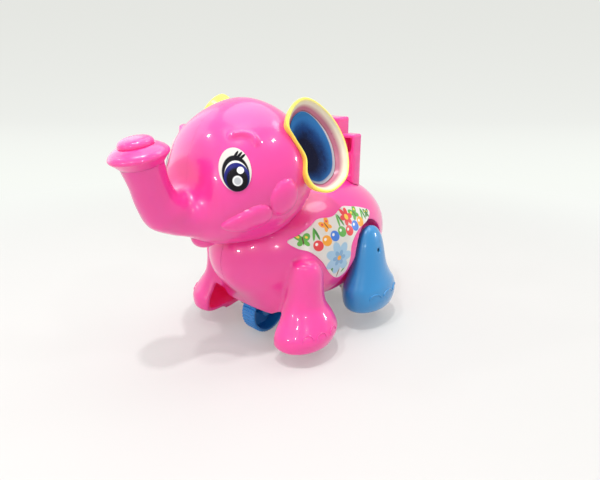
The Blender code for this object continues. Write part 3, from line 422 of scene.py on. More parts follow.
class ToyColours(bpy.types.PropertyGroup):
    """Colours of the toy's plastics and labels"""
    pink: colour_value("Pink", "Moulded shells, tip and bracket", (0.900, 0.042, 0.335))
    # Colour of the painted glow on the pink's inner walls, which stands in for light through them
    glow: colour_value("Glow", "Light through the thin walls of the pink", (1.000, 0.012, 0.090))
    blue: colour_value("Blue", "Hind legs", (0.008, 0.235, 0.560))
    wheel: colour_value("Wheel blue", "Drive wheel", (0.008, 0.215, 0.600))
    yellow: colour_value("Yellow", "Outside of the ears", (1.000, 0.870, 0.125))
    cream: colour_value("Cream", "Lip of the ears", (0.930, 0.840, 0.640))
    mauve: colour_value("Mauve", "Inner wall of the ears", (0.560, 0.170, 0.260))
    paper: colour_value("Paper", "Ground of the labels", (0.740, 0.725, 0.680))
    sky: colour_value("Sky", "Light blue of the ear labels", (0.050, 0.250, 0.580))
    border: colour_value("Border", "Border of ear labels, white of eyes", (0.900, 0.890, 0.860))
    deep: colour_value("Deep blue", "Middle blue of the ear labels", (0.010, 0.062, 0.240))
    navy: colour_value("Navy", "Dark blue of the ear labels", (0.003, 0.004, 0.020))
    black: colour_value("Black", "Pupils and lids", (0.006, 0.005, 0.008))
    white: colour_value("White", "Plates, gears and rear wheels", (0.780, 0.770, 0.740))
    steel: colour_value("Steel", "Shafts, screws and spring", (0.560, 0.560, 0.580))


class ToyStage(bpy.types.PropertyGroup):
    """Floor, backdrop and lamps"""
    floor: colour_value("Floor", "Colour of the floor", (0.640, 0.635, 0.620))
    key: power_value("Key", "Power of the small lamp overhead", 1.60)
    side: power_value("Side", "Power of the small lamp in front of it", 0.95)
    top: power_value("Top", "Power of the wide lamp overhead", 1.15)
    back: power_value("Back", "Power of the lamp behind", 0.4)
    fill: power_value("Fill", "Power of the wide lamp in front", 0.1)
    window: power_value("Window", "Power of the wide lamp beside", 0.7)
    spark: power_value("Spark", "Power of each small lamp that glints", 0.28)
    sky: bpy.props.FloatProperty(
        name="Sky", description="Strength of the light all round", default=0.50, min=0.0
    )


def smooth_low(first, second, blend):
    """The lower of two fields, rounded: b + (a - b) h - blend h (1 - h), with h = 1/2 +
    (b - a) / (2 blend) held between 0 and 1."""
    share = np.clip(0.5 + 0.5 * (second - first) / blend, 0.0, 1.0)
    return second + (first - second) * share - blend * share * (1.0 - share)


def smooth_high(first, second, blend):
    """The higher of two fields, rounded in the same way."""
    return -smooth_low(-first, -second, blend)


def curve_at(rows, travel, closed=False):
    """Catmull-Rom curve between rows b and c of a, b, c, d:
    b + t/2 (c - a + t (2a - 5b + 4c - d + t (3(b - c) + d - a)))."""
    rows = np.asarray(rows, float)
    if closed:
        spans = len(rows)
        padded = np.vstack([rows[-1:], rows, rows[:2]])
    else:
        spans = len(rows) - 1
        padded = np.vstack([2 * rows[0] - rows[1], rows, 2 * rows[-1] - rows[-2]])
    travel = np.asarray(travel, float)
    index = np.clip(travel.astype(int), 0, spans - 1)
    part = (travel - index)[..., None]
    a, b, c, d = (padded[index + shift] for shift in range(4))
    bend = 2 * a - 5 * b + 4 * c - d + part * (3 * (b - c) + d - a)
    return b + 0.5 * part * (c - a + part * bend)


def curve_through(rows, samples, closed=False):
    """Evenly spaced samples of the curve through the rows."""
    spans = len(rows) if closed else len(rows) - 1
    return curve_at(rows, np.linspace(0.0, spans, samples, endpoint=not closed), closed)


def sections_at(sections, z):
    """Values of a stack of sections at heights z, read from the curve through its rows."""
    table = curve_through(sections, LEG_SAMPLES)
    return [np.interp(z, table[:, 0], column) for column in table.T[1:]]


def ball_field(x, y, z, half, centre):
    """Distance to an ellipsoid, k0 (k0 - 1) / k1, with k0 and k1 the lengths of p / half and
    p / half squared."""
    scaled = [(value - middle) / size for value, middle, size in zip((x, y, z), centre, half)]
    near = np.sqrt(sum(value ** 2 for value in scaled)) + TINY
    slope = np.sqrt(sum((value / size) ** 2 for value, size in zip(scaled, half))) + TINY
    return near * (near - 1.0) / slope


def block_field(x, y, z, low, high, edge):
    """Distance to a box with rounded edges: length of what lies outside its core, less the edge."""
    outside = []
    for value, bottom, top in zip((x, y, z), low, high):
        outside.append(np.abs(value - (bottom + top) / 2) - (top - bottom) / 2 + edge)
    length = np.sqrt(sum(np.maximum(value, 0.0) ** 2 for value in outside))
    deepest = np.maximum(np.maximum(outside[0], outside[1]), outside[2])
    return length + np.minimum(deepest, 0.0) - edge


def column_field(x, y, z, sections):
    """Distance to a leg: at each height an ellipse read from the sections, closed by the foot
    and the crown."""
    centre_x, centre_y, half_x, half_y = sections_at(sections, z)
    across = (x - centre_x) / half_x
    along = (y - centre_y) / half_y
    near = np.sqrt(across ** 2 + along ** 2) + TINY
    slope = np.sqrt((across / half_x) ** 2 + (along / half_y) ** 2) + TINY
    side = near * (near - 1.0) / slope
    footed = smooth_high(side, sections[0][0] - z, FOOT_EDGE)
    return smooth_high(footed, z - sections[-1][0], FOOT_EDGE)


def chest_field(x, y, z):
    """Distance to the chest: rounded oblongs |x/a|^3 + |y/b|^3 = 1 stacked up, cut off behind
    the front legs."""
    half_x, half_y = sections_at(CHEST, z)
    power = CHEST_SQUARENESS
    near = (np.abs(x / half_x) ** power + np.abs(y / half_y) ** power) ** (1.0 / power)
    side = (near - 1.0) * np.minimum(half_x, half_y)
    return smooth_high(smooth_high(side, y, CHEST_BACK_EDGE), z - CHEST[-1][0], CHEST_TOP_EDGE)


def recess_field(x, y, z):
    """Distance to the hind leg's pocket: an arch of one radius that flares out below its centre."""
    rise = z - HIND_PIVOT[1]
    drop = np.maximum(-rise, 0.0) / (HIND_PIVOT[1] - BELLY_Z)
    width = RECESS_RADIUS + (RECESS_FLARE - RECESS_RADIUS) * drop
    return np.maximum(np.hypot(y - HIND_PIVOT[0], np.maximum(rise, 0.0)) - width, RECESS_X - x)


def body_form(x, y, z, sizes):
    """The body's outer form: egg, front leg and chest in one rounded union."""
    egg = ball_field(x, y, z, BODY_HALF, BODY_CENTRE)
    leg = column_field(x, y, z, FRONT_LEG)
    return smooth_low(smooth_low(egg, chest_field(x, y, z), CHEST_BLEND), leg, sizes.leg_blend)


def body_field(x, y, z, sizes, well):
    """One body shell: the form hollowed by its wall, opened below, with its bosses, bores and
    neck."""
    outer = smooth_high(body_form(x, y, z, sizes), -recess_field(x, y, z), sizes.edge)
    shell = np.maximum(outer, -(outer + sizes.wall))
    for centre_y, centre_z in SHELL_SCREWS:
        round_it = np.hypot(y - centre_y, z - centre_z)
        shell = np.minimum(shell, np.maximum(round_it - BOSS_RADIUS, outer))
        shell = np.maximum(shell, np.minimum(SCREW_HOLE - round_it, SCREW_END_X - x))
        if well:
            sunk = np.maximum(round_it - WELL_RADIUS, WELL_SEAT - x)
            shell = smooth_high(shell, -sunk, sizes.edge / 2)
    forward = np.clip(-y / RIM_RUN, 0.0, 1.0)
    rim = BELLY_Z + (CHEST_Z - BELLY_Z) * forward * forward * (3.0 - 2.0 * forward)
    outward = np.clip((x - LEG_RIM_X[0]) / (LEG_RIM_X[1] - LEG_RIM_X[0]), 0.0, 1.0)
    rim = rim + (LEG_RIM_Z - CHEST_Z) * forward * outward
    opening = np.maximum(x - INNER_X, z - rim)
    shell = smooth_high(shell, -opening, sizes.edge)
    shell = np.maximum(shell, AXLE_HOLE - np.hypot(y - HIND_PIVOT[0], z - HIND_PIVOT[1]))
    neck = ball_field(x, y, z, HEAD_HALF, HEAD_CENTRE) + NECK_GAP
    return np.maximum(shell, -neck)


def hind_leg_field(x, y, z, sizes):
    """A hind leg: its column hollowed by its wall, open inside, with a boss and a bore on the
    axle."""
    form = column_field(x, y, z, HIND_LEG)
    round_it = np.hypot(y - HIND_PIVOT[0], z - HIND_PIVOT[1])
    shell = np.maximum(form, -(form + sizes.wall))
    shell = np.minimum(shell, np.maximum(round_it - HIND_BOSS_RADIUS, form))
    shell = smooth_high(shell, HIND_INNER_X - x, sizes.edge)
    bore = np.where(x > AXLE_END_X, AXLE_DIMPLE, AXLE_HOLE)
    return smooth_high(shell, bore - round_it, sizes.edge / 2)


def bracket_field(x, y, z, sizes):
    """The back bracket: web, crest and two posts of rounded blocks, each post with a pocket and
    a sloping bar."""
    side = np.abs(x)
    edge = sizes.post_edge
    web_low = (-POST_X[1], WEB_Y[0], BRACKET_ROOT_Z)
    web = block_field(x, y, z, web_low, (POST_X[1], WEB_Y[1], WEB_TOP_Z), edge)
    crest_low = (-CREST_HALF, CREST_Y[0], BRACKET_ROOT_Z)
    crest = block_field(x, y, z, crest_low, (CREST_HALF, CREST_Y[1], CREST_TOP_Z), edge)
    post_low = (POST_X[0], POST_Y[0], BRACKET_ROOT_Z)
    post = block_field(side, y, z, post_low, (POST_X[1], POST_Y[1], POST_TOP_Z), edge)
    pocket_low = (POST_X[0] + BRACKET_WALL, POST_Y[0] - POCKET_REACH, POCKET_Z[0])
    pocket_high = (POST_X[1] - BRACKET_WALL, WEB_Y[1], POCKET_Z[1])
    pocket = block_field(side, y, z, pocket_low, pocket_high, edge / 3)
    middle = (POST_X[0] + POST_X[1]) / 2
    level = (POCKET_Z[0] + POCKET_Z[1]) / 2
    slope = (POCKET_Z[1] - POCKET_Z[0]) / 2 / (POST_X[1] - POST_X[0])
    bar = np.abs(z - level - (side - middle) * slope) * BRACE_SLANT - BRACE_THICK
    bar = np.maximum(bar, POST_Y[0] + BRACKET_WALL - y)
    hollow = smooth_high(pocket, -bar, edge / 3)
    post = smooth_high(post, -hollow, edge / 3)
    form = smooth_low(smooth_low(web, crest, BRACKET_BLEND), post, BRACKET_BLEND)
    return np.maximum(form, BRACKET_SEAT - ball_field(x, y, z, BODY_HALF, BODY_CENTRE))


def settle(points, field, rounds=3, step=2e-5):
    """Newton steps along the field's slope, p - g f / |g|^2, so that points come to lie on it."""
    for _ in range(rounds):
        value = field(*points.T)
        slope = np.empty_like(points)
        for axis in range(3):
            shift = np.zeros(3)
            shift[axis] = step
            ahead, behind = field(*(points + shift).T), field(*(points - shift).T)
            slope[:, axis] = (ahead - behind) / (2 * step)
        size = np.maximum((slope ** 2).sum(axis=1), LEAST_SLOPE)
        points = points - slope * np.clip(value / size, -MOST_MOVE, MOST_MOVE)[:, None]
    return points


def net_surface(field, low, high, cell):
    """Skin of field = 0 on a lattice: one point in each cell that the skin crosses, at the mean
    of its crossings, and one quad round each lattice edge that it cuts."""
    axes = [np.arange(start, stop + cell, cell) for start, stop in zip(low, high)]
    value = field(*np.meshgrid(*axes, indexing="ij"))
    inside = value < 0.0
    last = np.array(value.shape) - 1
    corners = [inside[i:last[0] + i, j:last[1] + j, k:last[2] + k] for i, j, k in CORNERS]
    count = sum(corner.astype(np.int8) for corner in corners)
    active = (count > 0) & (count < 8)
    number = np.full(active.shape, -1)
    number[active] = np.arange(active.sum())
    cells = np.argwhere(active)
    values = np.stack([value[tuple((cells + corner).T)] for corner in CORNERS], axis=1)
    total = np.zeros((len(cells), 3))
    hits = np.zeros(len(cells))
    for a, b in CUBE_EDGES:
        crossing = (values[:, a] < 0.0) != (values[:, b] < 0.0)
        share = values[:, a] / np.where(crossing, values[:, a] - values[:, b], 1.0)
        point = CORNERS[a] + share[:, None] * (CORNERS[b] - CORNERS[a])
        total += np.where(crossing[:, None], point, 0.0)
        hits += crossing
    points = (cells + total / hits[:, None]) * cell + np.array(low)
    quads = []
    for axis in range(3):
        first, second = (axis + 1) % 3, (axis + 2) % 3
        near = np.take(inside, range(inside.shape[axis] - 1), axis)
        far = np.take(inside, range(1, inside.shape[axis]), axis)
        index = np.argwhere(near != far)
        keep = np.ones(len(index), bool)
        for other in (first, second):
            keep &= (index[:, other] >= 1) & (index[:, other] <= inside.shape[other] - 2)
        index = index[keep]
        outward = near[tuple(index.T)]
        step_u, step_v = np.eye(3, dtype=int)[first], np.eye(3, dtype=int)[second]
        ring = (step_u + step_v, step_v, 0 * step_u, step_u)
        quad = np.stack([number[tuple((index - shift).T)] for shift in ring], axis=1)
        quad[~outward] = quad[~outward][:, ::-1]
        quads.append(quad)
    return settle(points, field), np.vstack(quads)


def grid_faces(rows, columns, wrap=False):
    """Quads of a grid of points, row by row, joined round the columns when it wraps."""
    last = columns if wrap else columns - 1
    row = np.arange(rows - 1)[:, None] * columns
    column = np.arange(last)[None, :]
    ahead = (column + 1) % columns
    corners = [row + column, row + ahead, row + columns + ahead, row + columns + column]
    return np.stack([corner.ravel() for corner in np.broadcast_arrays(*corners)], axis=1)


def wrapped(x, y, z):
    """Points and faces of a grid of coordinates that closes round its columns."""
    points = np.stack(np.broadcast_arrays(x, y, z), axis=-1)
    return points.reshape(-1, 3), grid_faces(*points.shape[:2], wrap=True)


def full_turn(count):
    """Angles spread evenly round a circle."""
    return np.linspace(0.0, 2 * pi, count, endpoint=False)


def new_mesh(name, points, faces, uv=None):
    """A mesh of points and faces, with its drawing coordinates if it has a drawing."""
    mesh = bpy.data.meshes.new(name)
    mesh.from_pydata(np.asarray(points).tolist(), [], np.asarray(faces).tolist())
    if uv is not None:
        layer = mesh.uv_layers.new(name="drawing")
        corner = np.empty(len(mesh.loops), dtype=np.int32)
        mesh.loops.foreach_get("vertex_index", corner)
        layer.uv.foreach_set("vector", np.asarray(uv, dtype=np.float32)[corner].ravel())
    return mesh


def closed(mesh):
    """Joins a mesh's seams and poles and turns its faces outwards."""
    shape = bmesh.new()
    shape.from_mesh(mesh)
    bmesh.ops.remove_doubles(shape, verts=shape.verts, dist=1e-6)
    bmesh.ops.dissolve_degenerate(shape, dist=1e-7, edges=shape.edges)
    bmesh.ops.recalc_face_normals(shape, faces=shape.faces)
    shape.to_mesh(mesh)
    shape.free()


def parted(mesh):
    """Cuts a closed mesh along the parting plane and closes the cut."""
    shape = bmesh.new()
    shape.from_mesh(mesh)
    cut = bmesh.ops.bisect_plane(
        shape, geom=shape.verts[:] + shape.edges[:] + shape.faces[:], clear_outer=True,
        plane_co=(BODY_PARTING_X, 0.0, 0.0), plane_no=(-1.0, 0.0, 0.0),
    )
    edges = [item for item in cut["geom_cut"] if isinstance(item, bmesh.types.BMEdge)]
    bmesh.ops.triangle_fill(shape, use_beauty=True, use_dissolve=False, edges=edges)
    bmesh.ops.recalc_face_normals(shape, faces=shape.faces)
    shape.to_mesh(mesh)
    shape.free()


def placed(name, mesh, material, body, nodes):
    """Makes a piece of a mesh with its material, ties it to its body and hides the nodes that it
    stands in for.
    """
    mesh.shade_smooth()
    mesh.set_sharp_from_angle(angle=SHARP_ANGLE)
    mesh.materials.append(material)
    piece = bpy.data.objects.new(name, mesh)
    bpy.context.scene.collection.objects.link(piece)
    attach(piece, body)
    if nodes:
        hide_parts(*nodes)


def put(name, points, faces, material, body, nodes, uv=None):
    """Makes a closed piece of points and faces."""
    mesh = new_mesh(name, points, faces, uv)
    closed(mesh)
    placed(name, mesh, material, body, nodes)


def mirrored(points, faces, side):
    """The same skin on the other side, its faces turned round with it."""
    if side > 0:
        return points, faces
    return points * MIRROR, faces[:, ::-1]


def head_rows(inset):
    """Top point, bottom point and half width of each head section, with the skin moved in."""
    wide, long, tall = (size - inset for size in HEAD_HALF)
    rows = []
    for (y, z), turn, swell, top in zip(TRUNK_PATH, TRUNK_TURNS, TRUNK_SWELLS, TRUNK_TOPS):
        reach = TRUNK_RADIUS * swell - inset
        lean, rise = cos(radians(turn)), sin(radians(turn))
        upper = (top[0] - inset * lean, top[1] - inset * rise)
        rows.append((*upper, y - reach * lean, z - reach * rise, reach))
    nape = ((angle, angle, 1.0, sin(radians(angle))) for angle in NAPE_ANGLES)
    for top, bottom, swell, share in (*FACE_SECTIONS, *nape):
        upper, lower = radians(top), radians(bottom)
        rows.append((
            HEAD_CENTRE[1] - long * cos(upper),
            HEAD_CENTRE[2] + tall * sin(upper),
            HEAD_CENTRE[1] - long * swell * cos(lower),
            HEAD_CENTRE[2] - tall * swell * sin(lower),
            wide * share,
        ))
    return np.array(rows)


def head_point(travel, angle, inset=0.0):
    """Point of the head: half an ellipse from its section's top to its bottom, at an angle."""
    rows = curve_at(head_rows(inset), travel)
    top_y, top_z, low_y, low_z, wide = np.moveaxis(rows, -1, 0)
    rise = np.cos(angle)
    x = PARTING_X + np.maximum(wide - PARTING_X, 0.0) * np.sin(angle)
    y = (top_y + low_y) / 2 + (top_y - low_y) / 2 * rise
    z = (top_z + low_z) / 2 + (top_z - low_z) / 2 * rise
    return np.stack(np.broadcast_arrays(x, y, z), axis=-1)


def head_slopes(travel, angle, step):
    """Differences of the head's skin over a step either way, along it and round it."""
    along = head_point(travel + step, angle) - head_point(travel - step, angle)
    round_it = head_point(travel, angle + step) - head_point(travel, angle - step)
    return along, round_it


def head_normal(travel, angle):
    """Outward direction of the head's skin, the cross product of its two slopes."""
    along, round_it = head_slopes(travel, angle, NORMAL_STEP)
    normal = np.cross(round_it, along)
    return normal / np.maximum(np.linalg.norm(normal, axis=-1, keepdims=True), 1e-12)


def head_travel():
    """Places of the head's rows, spread evenly over the length of a line above its side."""
    places = np.linspace(0.0, len(head_rows(0.0)) - 1.0, HEAD_SAMPLES)
    steps = np.linalg.norm(np.diff(head_point(places, HEAD_LINE), axis=0), axis=1)
    length = np.concatenate([[0.0], np.cumsum(steps)])
    return np.interp(np.linspace(0.0, length[-1], HEAD_ROWS), length, places)[:, None]


def unit(direction):
    """A direction of length one."""
    direction = np.array(direction, float)
    return direction / np.linalg.norm(direction)


def face_relief(points, sizes):
    """Height of the face's forms: domes (1 - a^2 - b^2)^0.45 over ovals for the cheek and the
    mouth's corner, and a bell exp(-d^2) over a path for the brow, fading to its ends."""
    height = np.zeros(points.shape[:-1])
    for centre, first, second, half, rise, taper in FACE_FORMS:
        first, second = unit(first), unit(second)
        away = points - np.array(centre)
        along = away @ first / half[0]
        spread = 1.0 + taper * np.clip(along, -1.2, 1.2) - 0.3 * taper
        across = away @ second / half[1] / spread
        depth = away @ np.cross(first, second)
        inside = np.clip(1.0 - along ** 2 - across ** 2, 0.0, 1.0)
        height += rise * inside ** FORM_POWER * (np.abs(depth) < FORM_DEPTH)
    path = curve_through(BROW_PATH, BROW_SAMPLES)
    flat = points.reshape(-1, 3)
    gaps = np.full(len(flat), 1.0)
    ends = np.zeros(len(flat))
    for share, place in zip(np.linspace(0.0, 1.0, len(path)), path):
        gap = np.linalg.norm(flat - place, axis=1)
        ends = np.where(gap < gaps, share, ends)
        gaps = np.minimum(gap, gaps)
    fade = np.clip(6.0 * ends * (1.0 - ends), 0.0, 1.0)
    ridge = sizes.brow_height * np.exp(-(gaps / sizes.brow_width) ** 2) * fade
    return height + ridge.reshape(height.shape)


def head_half(sizes):
    """Half of the hollow head: outer skin with its relief, inner skin, and the ring that closes
    the trunk's end."""
    travel = head_travel()
    angle = np.linspace(0.0, pi, HEAD_POINTS)[None, :]
    outer = head_point(travel, angle)
    outer += head_normal(travel, angle) * face_relief(outer, sizes)[..., None]
    inner = head_point(travel, angle, sizes.wall)
    middle = (outer[:1] + inner[:1]) / 2
    end = np.concatenate([middle, middle[:, ::-1]], axis=1)
    rings = np.concatenate([end, np.concatenate([outer, inner[:, ::-1]], axis=1)])
    return rings.reshape(-1, 3), grid_faces(*rings.shape[:2], wrap=True)


def oval_ball(half, centre):
    """An ellipsoid as a grid of latitude p and longitude t: (sin p cos t, cos p, sin p sin t)."""
    polar = np.linspace(0.0, pi, BALL_ROWS)[:, None]
    turn = full_turn(BALL_POINTS)[None, :]
    shape = (np.sin(polar) * np.cos(turn), np.cos(polar), np.sin(polar) * np.sin(turn))
    return wrapped(*(size * part + middle for size, part, middle in zip(half, shape, centre)))


def turned(profile):
    """A profile of (radius, height) turned about Z: (r cos a, r sin a, h)."""
    radius, height = profile[:, :1], profile[:, 1:]
    turn = full_turn(TURN_STEPS)
    return wrapped(radius * np.cos(turn), radius * np.sin(turn), height)


def ear_frame(side):
    """Backward, upward and outward directions of an ear's own plane."""
    level = cos(EAR_TILT)
    face = Vector((sin(EAR_AZIMUTH) * level, -cos(EAR_AZIMUTH) * level, sin(EAR_TILT)))
    rearward = Vector((cos(EAR_AZIMUTH), sin(EAR_AZIMUTH), 0.0))
    upward = face.cross(rearward)
    return [np.array(axis) * (side, 1.0, 1.0) for axis in (rearward, upward, face)]


def ear_point(side, back, up, depth_share, extra):
    """A point of the ear: its middle + back + up, less a share of the cup's depth there and an
    extra depth."""
    rearward, upward, face = ear_frame(side)
    places = [place for place, _ in EAR_RIM]
    front, rear = min(places), max(places)
    floor = EAR_DEPTH[0] + (EAR_DEPTH[1] - EAR_DEPTH[0]) * (back - front) / (rear - front)
    depth = floor * depth_share + extra
    middle = np.array(EAR_MIDDLE) * (side, 1.0, 1.0)
    return middle + back[..., None] * rearward + up[..., None] * upward - depth[..., None] * face


def shrunk(back, up, share, hub):
    """An outline drawn in toward a hub: hub + share (p - hub)."""
    return [share * (value - middle) + middle for value, middle in zip((back, up), hub)]


def ear_skin(side):
    """The cup: the rim's outline shrunk and sunk row by row along a rounded profile, with a stem
    to the head."""
    outline = curve_through(EAR_RIM, EAR_POINTS, closed=True)
    profile = curve_through(EAR_PROFILE, EAR_ROWS)
    profile[:, (0, 4)] = np.clip(profile[:, (0, 4)], 0.0, 1.0)
    share, depth_share, extra, band, floor_share = (profile[:, k:k + 1] for k in range(5))
    rim = shrunk(outline[:, 0], outline[:, 1], share, EAR_HUB)
    points = ear_point(side, *shrunk(*rim, floor_share, EAR_FLOOR_HUB), depth_share, extra)
    turn = full_turn(STEM_POINTS)
    depth, flare = (np.array(column)[:, None] for column in zip(*STEM_PROFILE))
    flare = flare * STEM_RADIUS
    back, up = STEM_PLACE[0] + flare * np.cos(turn), STEM_PLACE[1] + flare * np.sin(turn)
    stem = ear_point(side, back, up, 0.0 * flare, depth + STEM_START)
    cap = stem[-1:].mean(axis=1, keepdims=True).repeat(STEM_POINTS, axis=1)
    stem = np.concatenate([stem, cap])
    faces = np.vstack([
        grid_faces(EAR_ROWS, EAR_POINTS, wrap=True),
        grid_faces(len(stem), STEM_POINTS, wrap=True) + points.size // 3,
    ])
    cup_bands = np.broadcast_to(band, points.shape[:2]).ravel()
    bands = np.concatenate([cup_bands, np.zeros(stem.size // 3)])
    uv = np.stack([np.full(len(bands), 0.5), bands], axis=1)
    return np.vstack([points.reshape(-1, 3), stem.reshape(-1, 3)]), faces, uv


def label_skin(top, low, uv):
    """A label: its upper rings from the hub out, then its lower rings back in."""
    points = np.concatenate([top, low[::-1]])
    plan = np.concatenate([uv, uv[::-1]])
    return points.reshape(-1, 3), grid_faces(*points.shape[:2], wrap=True), plan.reshape(-1, 2)


def ear_label(side, sizes):
    """A flat label on the cup's floor, from its middle to a share of the outline."""
    outline = curve_through(EAR_RIM, EAR_POINTS, closed=True)
    lip = shrunk(outline[:, 0], outline[:, 1], EAR_LIP_SHARE, EAR_HUB)
    back, up = shrunk(*lip, EAR_LABEL_SHARE * LABEL_SHARES, EAR_FLOOR_HUB)
    ones = np.ones_like(back)
    top = ear_point(side, back, up, ones, -EAR_LABEL_LIFT - sizes.label * ones)
    low = ear_point(side, back, up, ones, LABEL_SINK * ones)
    angle = np.arctan2(lip[1] - EAR_FLOOR_HUB[1], lip[0] - EAR_FLOOR_HUB[0])
    uv = np.stack([LABEL_SHARES * np.cos(angle), LABEL_SHARES * np.sin(angle)], axis=-1)
    return label_skin(top, low, uv)


def eye_label(sizes):
    """An oval on the face: for each (a, b) of the oval, Newton steps find the head's travel and
    angle there."""
    across, up = unit(EYE_ACROSS), unit(EYE_UP)
    turn = full_turn(LABEL_POINTS)
    a = EYE_HALF[0] * LABEL_SHARES * np.cos(turn)
    b = EYE_HALF[1] * LABEL_SHARES * np.sin(turn)
    place = np.array(EYE_PLACE)
    spans = (np.linspace(*span, EYE_GUESSES) for span in EYE_SEARCH)
    guesses = np.meshgrid(*spans, indexing="ij")
    far = np.linalg.norm(head_point(*guesses) - place, axis=-1)
    best = np.unravel_index(far.argmin(), far.shape)
    travel, angle = (np.full(a.shape, guess[best]) for guess in guesses)
    for _ in range(EYE_ROUNDS):
        here = head_point(travel, angle) - place
        slopes = head_slopes(travel, angle, EYE_STEP)
        along, round_it = (slope / (2 * EYE_STEP) for slope in slopes)
        miss_a, miss_b = a - here @ across, b - here @ up
        j = [along @ across, round_it @ across, along @ up, round_it @ up]
        spread = j[0] * j[3] - j[1] * j[2]
        more_travel = (miss_a * j[3] - miss_b * j[1]) / spread
        more_angle = (miss_b * j[0] - miss_a * j[2]) / spread
        travel = travel + np.clip(more_travel, -EYE_MOST, EYE_MOST)
        angle = angle + np.clip(more_angle, -EYE_MOST, EYE_MOST)
    skin, normal = head_point(travel, angle), head_normal(travel, angle)
    uv = np.stack([a, b], axis=-1) / LABEL_UNIT
    return label_skin(skin + normal * (LABEL_LIFT + sizes.label), skin - normal * LABEL_SINK, uv)


def flank_label(sizes):
    """A leaf-shaped label on the flank, its points moved sideways onto the body's form."""
    outline = curve_through(FLANK_EDGE, LABEL_POINTS, closed=True)
    back, up = LABEL_SHARES * outline[:, 0], LABEL_SHARES * outline[:, 1]
    start = np.full(back.shape, BODY_HALF[0])
    points = np.stack([start, FLANK_PLACE[0] + back, FLANK_PLACE[1] + up], axis=-1)
    flat = points.reshape(-1, 3)
    layers = []
    for lift in (LABEL_LIFT + sizes.label, -LABEL_SINK):
        x = flat[:, 0].copy()
        for _ in range(FLANK_ROUNDS):
            here = body_form(x, flat[:, 1], flat[:, 2], sizes) - lift
            ahead = body_form(x + FLANK_STEP, flat[:, 1], flat[:, 2], sizes) - lift
            rise = np.where(np.abs(ahead - here) < FLANK_LEAST, FLANK_LEAST, ahead - here)
            x = x - np.clip(here * FLANK_STEP / rise, -FLANK_MOST, FLANK_MOST)
        layers.append(np.column_stack([x, flat[:, 1:]]).reshape(points.shape))
    uv = np.stack([back, up], axis=-1) / LABEL_UNIT
    return label_skin(*layers, uv)


def toe_lines(sections, toes):
    """Raised arcs over the toes: thin tubes along arches on the foot, a ring of points about each
    point of a path."""
    field = partial(column_field, sections=sections)
    arch = np.linspace(0.0, pi, TOE_ROWS)
    turn = full_turn(TOE_SIDES)
    middles, spread, heights = toes
    height = heights[0] + (heights[1] - heights[0]) * np.sin(arch) ** TOE_POWER
    x, y, half_x, half_y = sections_at(sections, height)
    radius = TOE_THICK * np.clip(6.0 * np.sin(arch), 0.0, 1.0)[:, None, None]
    all_points, all_faces, start = [], [], 0
    for middle in middles:
        bearing = np.radians(middle + spread * np.cos(arch))
        east, north = np.cos(bearing), np.sin(bearing)
        path = np.stack([x + half_x * east, y + half_y * north, height], axis=1)
        path = settle(path, field, TOE_ROUNDS)
        tangent = np.gradient(path, axis=0)
        tangent /= np.linalg.norm(tangent, axis=1, keepdims=True)
        sideways = np.cross(tangent, np.stack([east, north, 0.0 * bearing], axis=1))
        sideways /= np.linalg.norm(sideways, axis=1, keepdims=True)
        lift = np.cross(sideways, tangent)
        ring = np.cos(turn)[:, None] * sideways[:, None] + np.sin(turn)[:, None] * lift[:, None]
        tube = path[:, None] + radius * ring
        all_points.append(tube.reshape(-1, 3))
        all_faces.append(grid_faces(len(path), len(turn), wrap=True) + start)
        start += tube.size // 3
    return np.vstack(all_points), np.vstack(all_faces)


def on_axle(across, radius, turn, axis):
    """Rows of radii turned about an axle along X: (across, r cos a + y, r sin a + z)."""
    return wrapped(across, radius * np.cos(turn) + axis.y, radius * np.sin(turn) + axis.z)


def drive_wheel_skin(sizes):
    """A cup wheel turned about X, its tread's radius less a groove of ((1 - cos 40 a) / 2)^2."""
    full, half = WHEEL_RADIUS, WHEEL_HALF
    wall, floor = full - 0.0018, half - 0.0018
    # Radius, place along the axle, share of the groove
    profile = np.array([
        (0.0, 0.0013, 0), (0.0018, 0.0013, 0), (0.0018, -half, 0), (0.0060, -half, 0),
        (full - 0.0011, -half, 0), (full - 0.0005, -half + 0.0002, 0.3),
        (full - 0.0001, -half + 0.0006, 0.8), (full, -half + 0.0011, 1), (full, 0.0, 1),
        (full, half - 0.0011, 1), (full - 0.0001, half - 0.0006, 0.8),
        (full - 0.0005, half - 0.0002, 0.3), (full - 0.0009, half, 0), (full - 0.0014, half, 0),
        (wall, half - 0.0003, 0), (wall, 0.0, 0), (wall, -half + 0.0020, 0),
        (full - 0.0021, -floor, 0), (0.0042, -floor, 0), (0.0036, -half + 0.0024, 0),
        (0.0036, half - 0.0020, 0), (0.0034, floor, 0), (0.0012, floor, 0), (0.0, floor, 0),
    ])
    turn = full_turn(WHEEL_STEPS)
    groove = (0.5 - 0.5 * np.cos(RIB_COUNT * turn)) ** 2
    radius = profile[:, :1] - profile[:, 2:] * sizes.rib_depth * groove
    axis = AXES["drive_wheel_turn"]
    return on_axle(profile[:, 1:2] + axis.x, radius, turn, axis)


def rear_wheel_skin(side):
    """A small wheel turned about X, with a rounded tread and a sunk ring in each face."""
    full, half = REAR_RADIUS, REAR_HALF
    # Radius, place along the axle
    face = (
        (AXLE_HOLE, half), (0.0030, half), (0.0034, half - 0.0003), (0.0038, half - 0.0007),
        (0.0060, half - 0.0007), (0.0064, half - 0.0003), (0.0068, half), (full - 0.0010, half),
        (full - 0.0004, half - 0.0002), (full - 0.0001, half - 0.0006), (full, half - 0.0011),
        (full, 0.0004),
    )
    ring = np.array(face + tuple((r, -h) for r, h in reversed(face)) + (face[0],))
    across = ring[:, 1:] + side * REAR_X
    return on_axle(across, ring[:, :1], full_turn(TURN_STEPS), AXES["rear_wheels_turn"])


